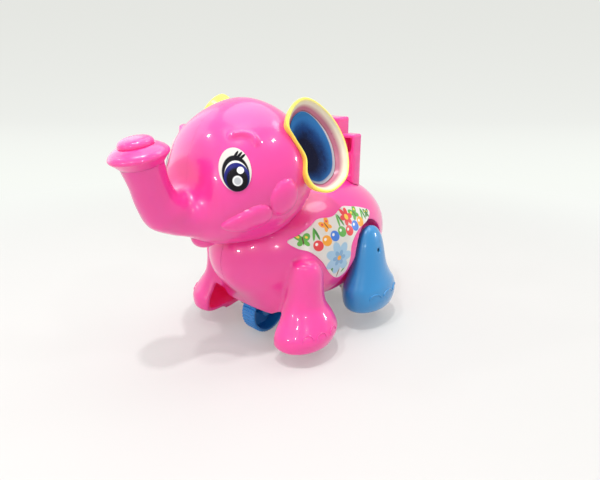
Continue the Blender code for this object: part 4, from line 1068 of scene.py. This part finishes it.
def node_group(name, inputs, outputs):
    """A shader node group with named sockets, made once."""
    group = bpy.data.node_groups.new(name, "ShaderNodeTree")
    for direction, sockets in (("INPUT", inputs), ("OUTPUT", outputs)):
        for label, kind, default in sockets:
            socket = group.interface.new_socket(name=label, in_out=direction, socket_type=kind)
            if default is not None:
                socket.default_value = default
    return group, group.nodes.new("NodeGroupInput"), group.nodes.new("NodeGroupOutput")


def maths(tree, operation, first, second=None, clamp=False):
    """A Math node fed by sockets or numbers."""
    node = tree.nodes.new("ShaderNodeMath")
    node.operation = operation
    node.use_clamp = clamp
    for index, value in enumerate((first, second)):
        if value is None:
            continue
        if isinstance(value, (int, float)):
            node.inputs[index].default_value = value
        else:
            tree.links.new(value, node.inputs[index])
    return node.outputs[0]


def vector_maths(tree, operation, *values):
    """A Vector Math node fed by sockets."""
    node = tree.nodes.new("ShaderNodeVectorMath")
    node.operation = operation
    for socket, value in zip(node.inputs, values):
        tree.links.new(value, socket)
    return node.outputs["Value" if operation == "LENGTH" else "Vector"]


def blended(tree, share, first, second):
    """A colour Mix node fed by a share and by sockets or colours."""
    node = tree.nodes.new("ShaderNodeMix")
    node.data_type = "RGBA"
    for label, value in (("Factor", share), ("A", first), ("B", second)):
        if isinstance(value, bpy.types.NodeSocket):
            tree.links.new(value, node.inputs[label])
        else:
            node.inputs[label].default_value = (*value, 1.0)
    return node.outputs["Result"]


def noise(tree, vector, scale, detail):
    """A noise value at a scale per metre."""
    node = tree.nodes.new("ShaderNodeTexNoise")
    node.inputs["Scale"].default_value = scale
    node.inputs["Detail"].default_value = detail
    tree.links.new(vector, node.inputs["Vector"])
    return node.outputs["Fac"]


def ramp(tree, value, stops):
    """A colour ramp over a value: (place, colour) in order."""
    node = tree.nodes.new("ShaderNodeValToRGB")
    elements = node.color_ramp.elements
    for element, (place, colour) in zip(elements, (stops[0], stops[-1])):
        element.position = place
        element.color = (*colour, 1.0)
    for place, colour in stops[1:-1]:
        elements.new(place).color = (*colour, 1.0)
    tree.links.new(value, node.inputs["Fac"])
    return node.outputs["Color"]


def moulded_group():
    """Moulded plastic: cloudy colour, handling smears in the gloss, a fine skin and some dust."""
    group, enter, leave = node_group(
        "moulded_skin",
        (("Colour", "NodeSocketColor", None), ("Cloud", "NodeSocketFloat", 0.1),
         ("Gloss", "NodeSocketFloat", 0.25), ("Smear", "NodeSocketFloat", 0.12),
         ("Dust", "NodeSocketFloat", 0.05)),
        (("Colour", "NodeSocketColor", None), ("Roughness", "NodeSocketFloat", None),
         ("Height", "NodeSocketFloat", None)),
    )
    values = enter.outputs
    place = group.nodes.new("ShaderNodeTexCoord").outputs["Object"]
    cloud, smear, skin, specks = (noise(group, place, *kind) for kind in SKIN_NOISES)
    scaled = maths(group, "MULTIPLY", maths(group, "SUBTRACT", cloud, 0.5), values["Cloud"])
    shade = group.nodes.new("ShaderNodeHueSaturation")
    group.links.new(values["Colour"], shade.inputs["Color"])
    group.links.new(maths(group, "ADD", scaled, 1.0), shade.inputs["Value"])
    dusty = maths(group, "GREATER_THAN", specks, DUST_LEVEL)
    speck = maths(group, "MULTIPLY", dusty, values["Dust"])
    colour = blended(group, speck, shade.outputs["Color"], DUST_COLOUR)
    group.links.new(colour, leave.inputs["Colour"])
    rough = maths(group, "MULTIPLY", maths(group, "SUBTRACT", smear, 0.5), values["Smear"])
    rough = maths(group, "ADD", rough, values["Gloss"])
    rough = maths(group, "ADD", rough, maths(group, "MULTIPLY", speck, 2.0), clamp=True)
    group.links.new(rough, leave.inputs["Roughness"])
    group.links.new(skin, leave.inputs["Height"])
    return group


def oval_group():
    """Mask of a turned oval on a drawing: 1 inside, 0 outside, with a soft edge."""
    group, enter, leave = node_group(
        "oval_mask",
        (("Drawing", "NodeSocketVector", None), ("Place", "NodeSocketVector", None),
         ("Turn", "NodeSocketFloat", 0.0), ("Half", "NodeSocketVector", (1.0, 1.0, 1.0)),
         ("Edge", "NodeSocketFloat", 0.05)),
        (("Mask", "NodeSocketFloat", None),),
    )
    values = enter.outputs
    about = group.nodes.new("ShaderNodeVectorRotate")
    about.rotation_type = "Z_AXIS"
    away = vector_maths(group, "SUBTRACT", values["Drawing"], values["Place"])
    group.links.new(away, about.inputs["Vector"])
    group.links.new(maths(group, "MULTIPLY", values["Turn"], -1.0), about.inputs["Angle"])
    scaled = vector_maths(group, "DIVIDE", about.outputs["Vector"], values["Half"])
    inner = maths(group, "SUBTRACT", 1.0, vector_maths(group, "LENGTH", scaled))
    soft = maths(group, "DIVIDE", inner, values["Edge"])
    group.links.new(maths(group, "ADD", soft, 0.5, clamp=True), leave.inputs["Mask"])
    return group


def shared_group(name):
    """The node group of a name, built when first asked for."""
    makers = {"moulded_skin": moulded_group, "oval_mask": oval_group}
    return bpy.data.node_groups.get(name) or makers[name]()


def finish(name, colour, gloss, bump=0.03, cloud=0.12, smear=0.14, dust=0.03, **values):
    """A moulded material, made once. Colour is a linear colour or a maker of a colour socket."""
    made = bpy.data.materials.get(name)
    if made:
        return made
    material = bpy.data.materials.new(name)
    material.use_nodes = True
    tree = material.node_tree
    shader = tree.nodes["Principled BSDF"]
    skin = tree.nodes.new("ShaderNodeGroup")
    skin.node_tree = shared_group("moulded_skin")
    for label, value in (("Cloud", cloud), ("Gloss", gloss), ("Smear", smear), ("Dust", dust)):
        skin.inputs[label].default_value = value
    if callable(colour):
        tree.links.new(colour(tree), skin.inputs["Colour"])
    else:
        skin.inputs["Colour"].default_value = (*colour, 1.0)
    tree.links.new(skin.outputs["Colour"], shader.inputs["Base Color"])
    tree.links.new(skin.outputs["Roughness"], shader.inputs["Roughness"])
    relief = tree.nodes.new("ShaderNodeBump")
    relief.inputs["Strength"].default_value = bump
    relief.inputs["Distance"].default_value = SKIN_DEPTH
    tree.links.new(skin.outputs["Height"], relief.inputs["Height"])
    tree.links.new(relief.outputs["Normal"], shader.inputs["Normal"])
    for label, value in values.items():
        shader.inputs[label.replace("_", " ")].default_value = value
    return material


def painted_glow_inside(material, colour, strength):
    """A painted glow: emission that stands in for light coming through a thin wall into a hollow,
    where the mesh is marked as inside.
    """
    tree = material.node_tree
    if "inside" in tree.nodes:
        return material
    inside = tree.nodes.new("ShaderNodeAttribute")
    inside.name = "inside"
    inside.attribute_name = "inside"
    shader = tree.nodes["Principled BSDF"]
    glow = blended(tree, inside.outputs["Fac"], (0.0, 0.0, 0.0), colour)
    tree.links.new(glow, shader.inputs["Emission Color"])
    shader.inputs["Emission Strength"].default_value = strength
    return material


def drawing(tree):
    """The piece's own drawing coordinates."""
    node = tree.nodes.new("ShaderNodeUVMap")
    node.uv_map = "drawing"
    return node.outputs["UV"]


def oval(tree, place, half, turn=0.0, edge=0.06):
    """Mask of one oval of a drawing."""
    node = tree.nodes.new("ShaderNodeGroup")
    node.node_tree = shared_group("oval_mask")
    tree.links.new(drawing(tree), node.inputs["Drawing"])
    node.inputs["Place"].default_value = (*place, 0.0)
    node.inputs["Half"].default_value = (*half, 1.0)
    node.inputs["Turn"].default_value = radians(turn)
    node.inputs["Edge"].default_value = edge
    return node.outputs["Mask"]


def painted(tree, ground, strokes):
    """Ovals of colour laid on a ground in order: (place, half, turn, edge, colour)."""
    colour = ground
    for place, half, turn, edge, paint in strokes:
        colour = blended(tree, oval(tree, place, half, turn, edge), colour, tuple(paint))
    return colour


def eye_drawing(colours):
    """Lid, white, iris, pupil, glints and lashes of an eye label."""
    black, white, paper = tuple(colours.black), tuple(colours.border), tuple(colours.paper)
    strokes = (
        ((0.00, -0.16), (0.530, 0.710), 0.0, 0.05, black),
        ((0.02, -0.24), (0.460, 0.575), 0.0, 0.05, white),
        ((0.02, -0.31), (0.490, 0.560), 0.0, 0.04, (0.018, 0.020, 0.20)),
        ((0.01, -0.42), (0.430, 0.480), 0.0, 0.22, black),
        ((0.02, -0.46), (0.195, 0.200), 0.0, 0.12, (0.82, 0.83, 0.84)),
        ((0.02, -0.47), (0.135, 0.140), 0.0, 0.30, (0.50, 0.52, 0.55)),
        ((0.21, -0.08), (0.135, 0.140), 0.0, 0.10, (0.93, 0.93, 0.92)),
        ((0.15, 0.55), (0.180, 0.055), 50.0, 0.25, black),
        ((0.27, 0.50), (0.180, 0.055), 42.0, 0.25, black),
        ((0.37, 0.42), (0.170, 0.055), 34.0, 0.25, black),
    )
    return lambda tree: painted(tree, paper, strokes)


def flower(x, y, size, petal, heart, count):
    """Strokes of a flower: petals round a heart."""
    strokes = []
    for turn in np.linspace(0.0, 360.0, count, endpoint=False):
        place = (x + 0.62 * size * cos(radians(turn)), y + 0.62 * size * sin(radians(turn)))
        strokes.append((place, (0.46 * size, 0.30 * size), turn, 0.15, petal))
    return strokes + [((x, y), (0.32 * size, 0.32 * size), 0.0, 0.15, heart)]


def butterfly(x, y, size, turn, wing, mark):
    """Strokes of a butterfly: two pairs of wings, a spot on each fore wing, and a body."""
    strokes = []
    for side in (1.0, -1.0):
        for bearing, reach, long, wide in ((40.0, 0.55, 0.50, 0.32), (-38.0, 0.42, 0.36, 0.24)):
            lean = turn + 90.0 + side * (90.0 - bearing)
            angle = radians(lean)
            place = (x + size * reach * cos(angle), y + size * reach * sin(angle))
            strokes.append((place, (long * size, wide * size), lean, 0.12, wing))
            if bearing > 0.0:
                strokes.append((place, (0.15 * size, 0.13 * size), 0.0, 0.3, mark))
    return strokes + [((x, y), (0.46 * size, 0.07 * size), turn + 90.0, 0.3, (0.10, 0.05, 0.02))]


def flank_drawing(colours):
    """A meadow: blades of grass, butterflies, coloured balls and one large flower on paper."""
    green, dark, brown = (0.110, 0.420, 0.060), (0.050, 0.260, 0.040), (0.260, 0.120, 0.030)
    red, orange, blue = (0.78, 0.05, 0.06), (0.92, 0.38, 0.03), (0.05, 0.20, 0.70)
    pale, slate, sun = (0.36, 0.56, 0.74), (0.22, 0.40, 0.62), (0.93, 0.66, 0.08)
    strokes = []
    for x, y, turn in (
        (-1.16, 0.58, 66.0), (-1.00, 0.58, 100.0), (0.46, 0.92, 80.0), (0.64, 0.92, 105.0),
        (2.36, 0.84, 70.0), (2.54, 0.82, 104.0), (-0.34, -1.34, 128.0), (0.46, -1.44, 52.0),
    ):
        strokes.append(((x, y), (0.28, 0.065), turn, 0.3, green if turn < 90.0 else dark))
    strokes.append(((0.08, -1.46), (0.44, 0.040), 88.0, 0.4, brown))
    strokes += butterfly(-1.76, 0.40, 0.44, -8.0, green, sun)
    strokes += butterfly(1.80, 0.98, 0.42, 14.0, green, sun)
    strokes += butterfly(-0.34, 0.84, 0.38, 20.0, orange, red)
    strokes += butterfly(2.86, 0.76, 0.30, -10.0, dark, sun)
    strokes += flower(1.10, 0.98, 0.40, red, sun, 6)
    for x, y, colour in (
        (-1.10, 0.06, red), (-0.58, 0.20, orange), (-0.06, 0.32, blue), (0.46, 0.42, green),
        (0.98, 0.36, red), (1.50, 0.48, blue), (2.02, 0.56, orange),
    ):
        strokes.append(((x, y), (0.27, 0.25), 0.0, 0.10, colour))
        strokes.append(((x - 0.08, y + 0.08), (0.08, 0.06), 30.0, 0.4, (0.95, 0.93, 0.88)))
    strokes += flower(0.02, -0.78, 0.78, pale, sun, 7)
    strokes += flower(0.02, -0.78, 0.38, slate, orange, 6)
    paper = tuple(colours.paper)
    return lambda tree: painted(tree, paper, strokes)


def ear_drawing(colours):
    """Blue that darkens to navy round a low middle, inside a pale border."""
    border, sky, deep, navy = (
        tuple(colour) for colour in (colours.border, colours.sky, colours.deep, colours.navy)
    )
    strokes = (
        ((-0.05, 0.04), (0.975, 0.975), 0.0, 0.03, sky),
        ((-0.12, -0.08), (1.04, 0.97), 0.0, 0.55, deep),
        ((-0.24, -0.14), (0.84, 0.76), 0.0, 0.60, navy),
    )

    def colour(tree):
        """The strokes, and a soft mottle of navy over their middle."""
        place = tree.nodes.new("ShaderNodeTexCoord").outputs["Object"]
        mottle = maths(tree, "SUBTRACT", noise(tree, place, 330.0, 2.0), 0.46)
        mottle = maths(tree, "MULTIPLY", mottle, 2.4, clamp=True)
        middle = oval(tree, (-0.12, -0.08), (0.82, 0.78), 0.0, 0.5)
        mottle = maths(tree, "MULTIPLY", mottle, middle)
        return blended(tree, mottle, painted(tree, border, strokes), navy)

    return colour


def ear_bands(colours):
    """Yellow outside, a cream lip and a mauve inner wall, along the ear's profile."""
    yellow, cream, mauve = tuple(colours.yellow), tuple(colours.cream), tuple(colours.mauve)
    pale = tuple(0.45 * value + 0.55 * other for value, other in zip(yellow, cream))
    stops = ((0.48, yellow), (0.56, pale), (0.64, cream), (0.71, cream), (0.82, mauve))

    def colour(tree):
        """A ramp over the profile's band."""
        split = tree.nodes.new("ShaderNodeSeparateXYZ")
        tree.links.new(drawing(tree), split.inputs[0])
        return ramp(tree, split.outputs["Y"], stops)

    return colour


def finishes(colours):
    """The materials of the toy, by the record's slots and the labels' drawings."""
    soft = {
        "Subsurface_Weight": 0.25, "Subsurface_Radius": (1.0, 0.10, 0.28),
        "Subsurface_Scale": 0.0050,
    }
    shine = {
        "cloud": 0.05, "smear": 0.06, "dust": 0.0, "Coat_Weight": 0.7, "Coat_Roughness": 0.05,
    }
    thin = {"Subsurface_Weight": 0.1, "Subsurface_Scale": 0.002}
    pink = finish("glossy_pink", tuple(colours.pink), 0.30, **shine, **soft)
    return {
        # The pink's inner walls get a painted glow in place of light through them
        "pink": painted_glow_inside(pink, tuple(colours.glow), PAINTED_GLOW_STRENGTH),
        "blue": finish("glossy_blue", tuple(colours.blue), 0.34, **shine),
        "wheel": finish("wheel_blue", tuple(colours.wheel), 0.30, Coat_Weight=0.2),
        "yellow": finish("moulded_yellow", tuple(colours.yellow), 0.30),
        # The ear cup's colours, laid in bands along its profile
        "ear": finish("sprayed_ear", ear_bands(colours), 0.30, **thin),
        "ear_label": finish(
            "ear_label", ear_drawing(colours), 0.42, bump=0.01, Specular_IOR_Level=0.05),
        "eye_label": finish(
            "eye_label", eye_drawing(colours), 0.30, bump=0.01, cloud=0.03,
            Specular_IOR_Level=0.12),
        "flank_label": finish("flank_label", flank_drawing(colours), 0.34, bump=0.01, cloud=0.04),
        "white": finish("moulded_white", tuple(colours.white), 0.42, dust=0.05),
        "steel": finish(
            "bright_steel", tuple(colours.steel), 0.26, bump=0.05, cloud=0.2, Metallic=1.0),
    }


def toy_settings(context):
    """The sizes and finishes that the pieces are made with."""
    return context.scene.toy_sizes, finishes(context.scene.toy_colours)


class TOY_OT_body(bpy.types.Operator):
    """Two body shells with their front legs, and the toe lines on their feet"""
    bl_idname = "toy.body"
    bl_label = "Body shells"
    bl_options = {"REGISTER", "UNDO"}

    def execute(self, context):
        sizes, paints = toy_settings(context)
        pink = paints["pink"]
        toes = toe_lines(FRONT_LEG, TOES["front"])
        for side, word in SIDES:
            field = partial(body_field, sizes=sizes, well=side < 0)
            points, faces = net_surface(field, BODY_LOW, BODY_HIGH, sizes.cell)
            mesh = new_mesh(f"body_{word}", points, faces)
            # Marks the lower shell's inner skin, where the pink gets its painted glow
            depth = -body_form(*points.T, sizes)
            inside = np.clip(depth / sizes.wall * INSIDE_RISE - INSIDE_START, 0.0, 1.0)
            inside = inside * (points[:, 2] < BODY_CENTRE[2])
            marks = mesh.attributes.new("inside", "FLOAT", "POINT")
            marks.data.foreach_set("value", inside.astype(np.float32))
            parted(mesh)
            if side < 0:
                mesh.transform(Matrix.Diagonal((*MIRROR, 1.0)))
                mesh.flip_normals()
            nodes = (f"body_shell_{word}",)
            placed(f"body_{word}", mesh, pink, "root", nodes)
            points, faces = mirrored(*toes, side)
            put(f"front_toes_{word}", points, faces, pink, "root", ())
        return {"FINISHED"}


class TOY_OT_head(bpy.types.Operator):
    """Two head shells with their raised face forms, the lower lip and the trunk's tip"""
    bl_idname = "toy.head"
    bl_label = "Head and trunk"
    bl_options = {"REGISTER", "UNDO"}

    def execute(self, context):
        sizes, paints = toy_settings(context)
        pink = paints["pink"]
        for side, word in SIDES:
            points, faces = mirrored(*head_half(sizes), side)
            nodes = (f"head_shell_{word}",)
            put(f"head_{word}", points, faces, pink, "root", nodes)
        points, faces = oval_ball(LIP_HALF, LIP_CENTRE)
        put("lower_lip", points, faces, pink, "root", ())
        button = curve_through(BUTTON_PROFILE, TIP_ROWS) * BUTTON + (0.0, FLANGE[1])
        flange = curve_through(FLANGE_PROFILE, TIP_ROWS) * FLANGE
        spigot = TRUNK_RADIUS - sizes.wall - SPIGOT_GAP
        root = (
            (TRUNK_RADIUS, TIP_SEAT), (spigot, TIP_SEAT), (spigot, -SPIGOT_LENGTH),
            (0.0, -SPIGOT_LENGTH),
        )
        points, faces = turned(np.vstack([button, flange, root]))
        lean = np.array(Matrix.Rotation(radians(TRUNK_TURNS[0]), 3, "X"))
        points = points @ lean.T + np.array((0.0, *TRUNK_PATH[0]))
        put("trunk_end", points, faces, pink, "root", ("trunk_tip",))
        return {"FINISHED"}


class TOY_OT_ears(bpy.types.Operator):
    """Two cupped ears and their labels"""
    bl_idname = "toy.ears"
    bl_label = "Ears"
    bl_options = {"REGISTER", "UNDO"}

    def execute(self, context):
        sizes, paints = toy_settings(context)
        for side, word in SIDES:
            points, faces, uv = ear_skin(side)
            nodes = (f"ear_{word}",)
            put(f"ear_cup_{word}", points, faces, paints["ear"], "root", nodes,
                uv)
            points, faces, uv = ear_label(side, sizes)
            nodes = (f"ear_sticker_{word}",)
            put(f"ear_label_{word}", points, faces, paints["ear_label"], "root", nodes,
                uv)
        return {"FINISHED"}


class TOY_OT_labels(bpy.types.Operator):
    """Eye labels on the face and leaf-shaped labels on the flanks"""
    bl_idname = "toy.labels"
    bl_label = "Eyes and flank labels"
    bl_options = {"REGISTER", "UNDO"}

    def execute(self, context):
        sizes, paints = toy_settings(context)
        for kind, node, skin in (
            ("eye_label", "eye_sticker", eye_label(sizes)),
            ("flank_label", "side_sticker", flank_label(sizes)),
        ):
            for side, word in SIDES:
                points, faces = mirrored(skin[0], skin[1], side)
                nodes = (f"{node}_{word}",)
                put(f"{kind}_{word}", points, faces, paints[kind], "root", nodes,
                    skin[2])
        return {"FINISHED"}


class TOY_OT_hind_legs(bpy.types.Operator):
    """Two hollow hind legs that swing on the leg axle, with their toe lines"""
    bl_idname = "toy.hind_legs"
    bl_label = "Hind legs"
    bl_options = {"REGISTER", "UNDO"}

    def execute(self, context):
        sizes, paints = toy_settings(context)
        blue = paints["blue"]
        field = partial(hind_leg_field, sizes=sizes)
        leg = net_surface(field, HIND_LOW, HIND_HIGH, sizes.leg_cell)
        toes = toe_lines(HIND_LEG, TOES["hind"])
        for side, word in SIDES:
            body = f"hind_leg_{word}"
            points, faces = mirrored(*leg, side)
            put(f"hind_leg_skin_{word}", points, faces, blue, body, (body,))
            points, faces = mirrored(*toes, side)
            put(f"hind_toes_{word}", points, faces, blue, body, ())
        return {"FINISHED"}


class TOY_OT_bracket(bpy.types.Operator):
    """Bracket on the back: two posts and a crest"""
    bl_idname = "toy.bracket"
    bl_label = "Back bracket"
    bl_options = {"REGISTER", "UNDO"}

    def execute(self, context):
        sizes, paints = toy_settings(context)
        room = BRACKET_ROOM
        low = (-POST_X[1] - room, POST_Y[0] - room, BRACKET_ROOT_Z - room)
        high = (POST_X[1] + room, POST_Y[1] + room, CREST_TOP_Z + room)
        field = partial(bracket_field, sizes=sizes)
        points, faces = net_surface(field, low, high, sizes.bracket_cell)
        nodes = ("back_bracket",)
        put("bracket", points, faces, paints["pink"], "root", nodes)
        return {"FINISHED"}


class TOY_OT_wheels(bpy.types.Operator):
    """Ribbed drive wheel and two rear wheels"""
    bl_idname = "toy.wheels"
    bl_label = "Wheels"
    bl_options = {"REGISTER", "UNDO"}

    def execute(self, context):
        sizes, paints = toy_settings(context)
        points, faces = drive_wheel_skin(sizes)
        nodes = ("drive_wheel",)
        put("ribbed_wheel", points, faces, paints["wheel"], "drive_wheel", nodes)
        for side, word in SIDES:
            points, faces = rear_wheel_skin(side)
            nodes = (f"rear_wheel_{word}",)
            put(f"small_wheel_{word}", points, faces, paints["white"], "rear_wheels", nodes)
        return {"FINISHED"}


class TOY_OT_works(bpy.types.Operator):
    """Finishes for the plates, gears, shafts, screws and spring inside"""
    bl_idname = "toy.works"
    bl_label = "Inner works"
    bl_options = {"REGISTER", "UNDO"}

    def execute(self, context):
        paints = toy_settings(context)[1]
        for name, node in frame["nodes"].items():
            paint = "steel" if any(word in name for word in STEEL_NODES) else "white"
            paint = "yellow" if name == "line_spool" else paint
            node.data.materials.clear()
            node.data.materials.append(paints[paint])
        return {"FINISHED"}


class TOY_OT_stage(bpy.types.Operator):
    """Pale floor, soft lamps and the photograph's camera"""
    bl_idname = "toy.stage"
    bl_label = "Stage"
    bl_options = {"REGISTER", "UNDO"}

    def execute(self, context):
        scene = context.scene
        stage = scene.toy_stage
        scene.view_settings.view_transform = "Standard"
        make_floor(scene, stage)
        make_sky(scene, stage)
        for name, (place, width, power) in LAMPS.items():
            lamp = bpy.data.lights.new(name, "AREA")
            lamp.shape = "DISK"
            lamp.size = width
            lamp.energy = getattr(stage, power)
            holder = bpy.data.objects.new(name, lamp)
            holder.location = place
            aim = Vector(LAMP_AIM) - Vector(place)
            holder.rotation_euler = aim.to_track_quat("-Z", "Y").to_euler()
            scene.collection.objects.link(holder)
        camera = bpy.data.cameras.new("camera")
        camera.sensor_width = SENSOR_WIDTH
        camera.lens = LENS
        camera.shift_y = SHIFT_Y
        camera.clip_start = CLIP_START
        level = cos(VIEW_ELEVATION)
        back = Vector((
            sin(VIEW_AZIMUTH) * level, -cos(VIEW_AZIMUTH) * level, sin(VIEW_ELEVATION),
        ))
        right = Vector((0.0, 0.0, 1.0)).cross(back).normalized()
        pose = Matrix((right, back.cross(right), back)).transposed().to_4x4()
        pose.translation = EYE_POINT
        viewer = bpy.data.objects.new("camera", camera)
        viewer.matrix_world = pose
        scene.collection.objects.link(viewer)
        scene.camera = viewer
        return {"FINISHED"}


def floor_mesh():
    """A wide floor that rises behind into a backdrop: flat as far as the bend, then a quarter
    circle, r sin a along and r (1 - cos a) up, and a wall."""
    across = np.linspace(-FLOOR_HALF, FLOOR_HALF, 3)
    bend = np.linspace(0.0, pi / 2, 17)
    turned_back = BEND_START + BEND_RADIUS * np.sin(bend)
    along = np.concatenate([[FLOOR_FRONT, 0.0], turned_back, [BEND_START + BEND_RADIUS]])
    rise = np.concatenate([[0.0, 0.0], BEND_RADIUS * (1.0 - np.cos(bend)), [WALL_TOP]])
    grid = np.broadcast_arrays(across[None, :], along[:, None], rise[:, None])
    turn = np.array(Matrix.Rotation(VIEW_AZIMUTH, 3, "Z"))
    points = np.stack(grid, axis=-1).reshape(-1, 3) @ turn.T
    mesh = bpy.data.meshes.new("floor")
    mesh.from_pydata(points.tolist(), [], grid_faces(len(along), len(across)).tolist())
    mesh.shade_smooth()
    return mesh


def seen_or_mirrored(tree):
    """1 where the camera or a mirror looks at a surface, 0 for the light that falls on it."""
    path = tree.nodes.new("ShaderNodeLightPath")
    return maths(tree, "MAXIMUM", path.outputs["Is Camera Ray"], path.outputs["Is Glossy Ray"])


def shaders_mixed(tree, share, first, second, output):
    """Two shaders mixed by a share into an output node."""
    mix = tree.nodes.new("ShaderNodeMixShader")
    for socket, value in zip(mix.inputs, (share, first.outputs[0], second.outputs[0])):
        tree.links.new(value, socket)
    tree.links.new(mix.outputs[0], tree.nodes[output].inputs["Surface"])


def make_floor(scene, stage):
    """The floor and backdrop: lit near the toy, and seen farther off in the backdrop's tones, a
    painted shade that darkens with distance.
    """
    material = bpy.data.materials.new("floor")
    material.use_nodes = True
    tree = material.node_tree
    shader = tree.nodes["Principled BSDF"]
    shader.inputs["Roughness"].default_value = FLOOR_ROUGHNESS
    place = tree.nodes.new("ShaderNodeTexCoord").outputs["Object"]
    cloud = maths(tree, "MULTIPLY", noise(tree, place, *FLOOR_NOISE), FLOOR_CLOUD)
    pale, dark = (
        tuple(min(1.0, share * value) for value in stage.floor) for share in FLOOR_SHADES
    )
    tree.links.new(blended(tree, cloud, pale, dark), shader.inputs["Base Color"])
    split = tree.nodes.new("ShaderNodeSeparateXYZ")
    tree.links.new(place, split.inputs[0])
    across = maths(tree, "MULTIPLY", split.outputs["X"], -sin(VIEW_AZIMUTH))
    behind = maths(tree, "MULTIPLY", split.outputs["Y"], cos(VIEW_AZIMUTH))
    depth = maths(tree, "ADD", maths(tree, "ADD", across, behind), split.outputs["Z"])
    depth = maths(tree, "MULTIPLY", depth, 1.0 / FLOOR_REACH, clamp=True)
    glow = tree.nodes.new("ShaderNodeEmission")
    # The backdrop's painted shade: its tone darker the farther back it lies
    stops = [(far / FLOOR_REACH, tone) for far, tone in BACKDROP_PAINTED_TONES]
    tree.links.new(ramp(tree, depth, stops), glow.inputs["Color"])
    flat = tree.nodes.new("ShaderNodeCombineXYZ")
    for axis in "XY":
        tree.links.new(split.outputs[axis], flat.inputs[axis])
    span = tree.nodes.new("ShaderNodeMapRange")
    span.interpolation_type = "SMOOTHSTEP"
    span.inputs["From Min"].default_value = GLOW_SPAN[0]
    span.inputs["From Max"].default_value = GLOW_SPAN[1]
    span.inputs["To Min"].default_value = NEAR_GLOW
    tree.links.new(vector_maths(tree, "LENGTH", flat.outputs[0]), span.inputs["Value"])
    share = maths(tree, "MULTIPLY", span.outputs["Result"], seen_or_mirrored(tree))
    shaders_mixed(tree, share, shader, glow, "Material Output")
    mesh = floor_mesh()
    mesh.materials.append(material)
    floor = bpy.data.objects.new("floor", mesh)
    scene.collection.objects.link(floor)


def make_sky(scene, stage):
    """An even pale light all round, white where it is seen or mirrored."""
    world = bpy.data.worlds.new("room")
    scene.world = world
    world.use_nodes = True
    tree = world.node_tree
    plain = tree.nodes["Background"]
    plain.inputs["Color"].default_value = (*SKY_LIGHT, 1.0)
    plain.inputs["Strength"].default_value = stage.sky
    seen = tree.nodes.new("ShaderNodeBackground")
    seen.inputs["Color"].default_value = (*SKY_SEEN, 1.0)
    shaders_mixed(tree, seen_or_mirrored(tree), plain, seen, "World Output")


class TOY_PT_panel(bpy.types.Panel):
    """Lists the toy's pieces, sizes and colours"""
    bl_label = "Pull-along elephant"
    bl_idname = "TOY_PT_panel"
    bl_space_type = "VIEW_3D"
    bl_region_type = "UI"
    bl_category = "Elephant"

    def draw(self, context):
        layout = self.layout
        for operator in OPERATORS:
            layout.operator(operator.bl_idname)
        for group in (context.scene.toy_sizes, context.scene.toy_colours, context.scene.toy_stage):
            box = layout.box()
            for name in group.__annotations__:
                box.prop(group, name)


OPERATORS = (
    TOY_OT_stage, TOY_OT_works, TOY_OT_body, TOY_OT_head, TOY_OT_ears, TOY_OT_labels,
    TOY_OT_hind_legs, TOY_OT_bracket, TOY_OT_wheels,
)
GROUPS = {"toy_sizes": ToySizes, "toy_colours": ToyColours, "toy_stage": ToyStage}


def register():
    """Adds the property groups, operators and panel."""
    for item in (*GROUPS.values(), *OPERATORS, TOY_PT_panel):
        bpy.utils.register_class(item)
    for name, group in GROUPS.items():
        setattr(bpy.types.Scene, name, bpy.props.PointerProperty(type=group))


def unregister():
    """Takes them away again."""
    for name in GROUPS:
        delattr(bpy.types.Scene, name)
    for item in reversed((*GROUPS.values(), *OPERATORS, TOY_PT_panel)):
        bpy.utils.unregister_class(item)


def main():
    """Builds the toy's looks piece by piece."""
    register()
    for operator in OPERATORS:
        group, name = operator.bl_idname.split(".")
        getattr(getattr(bpy.ops, group), name)()


if __name__ == "__main__":
    main()
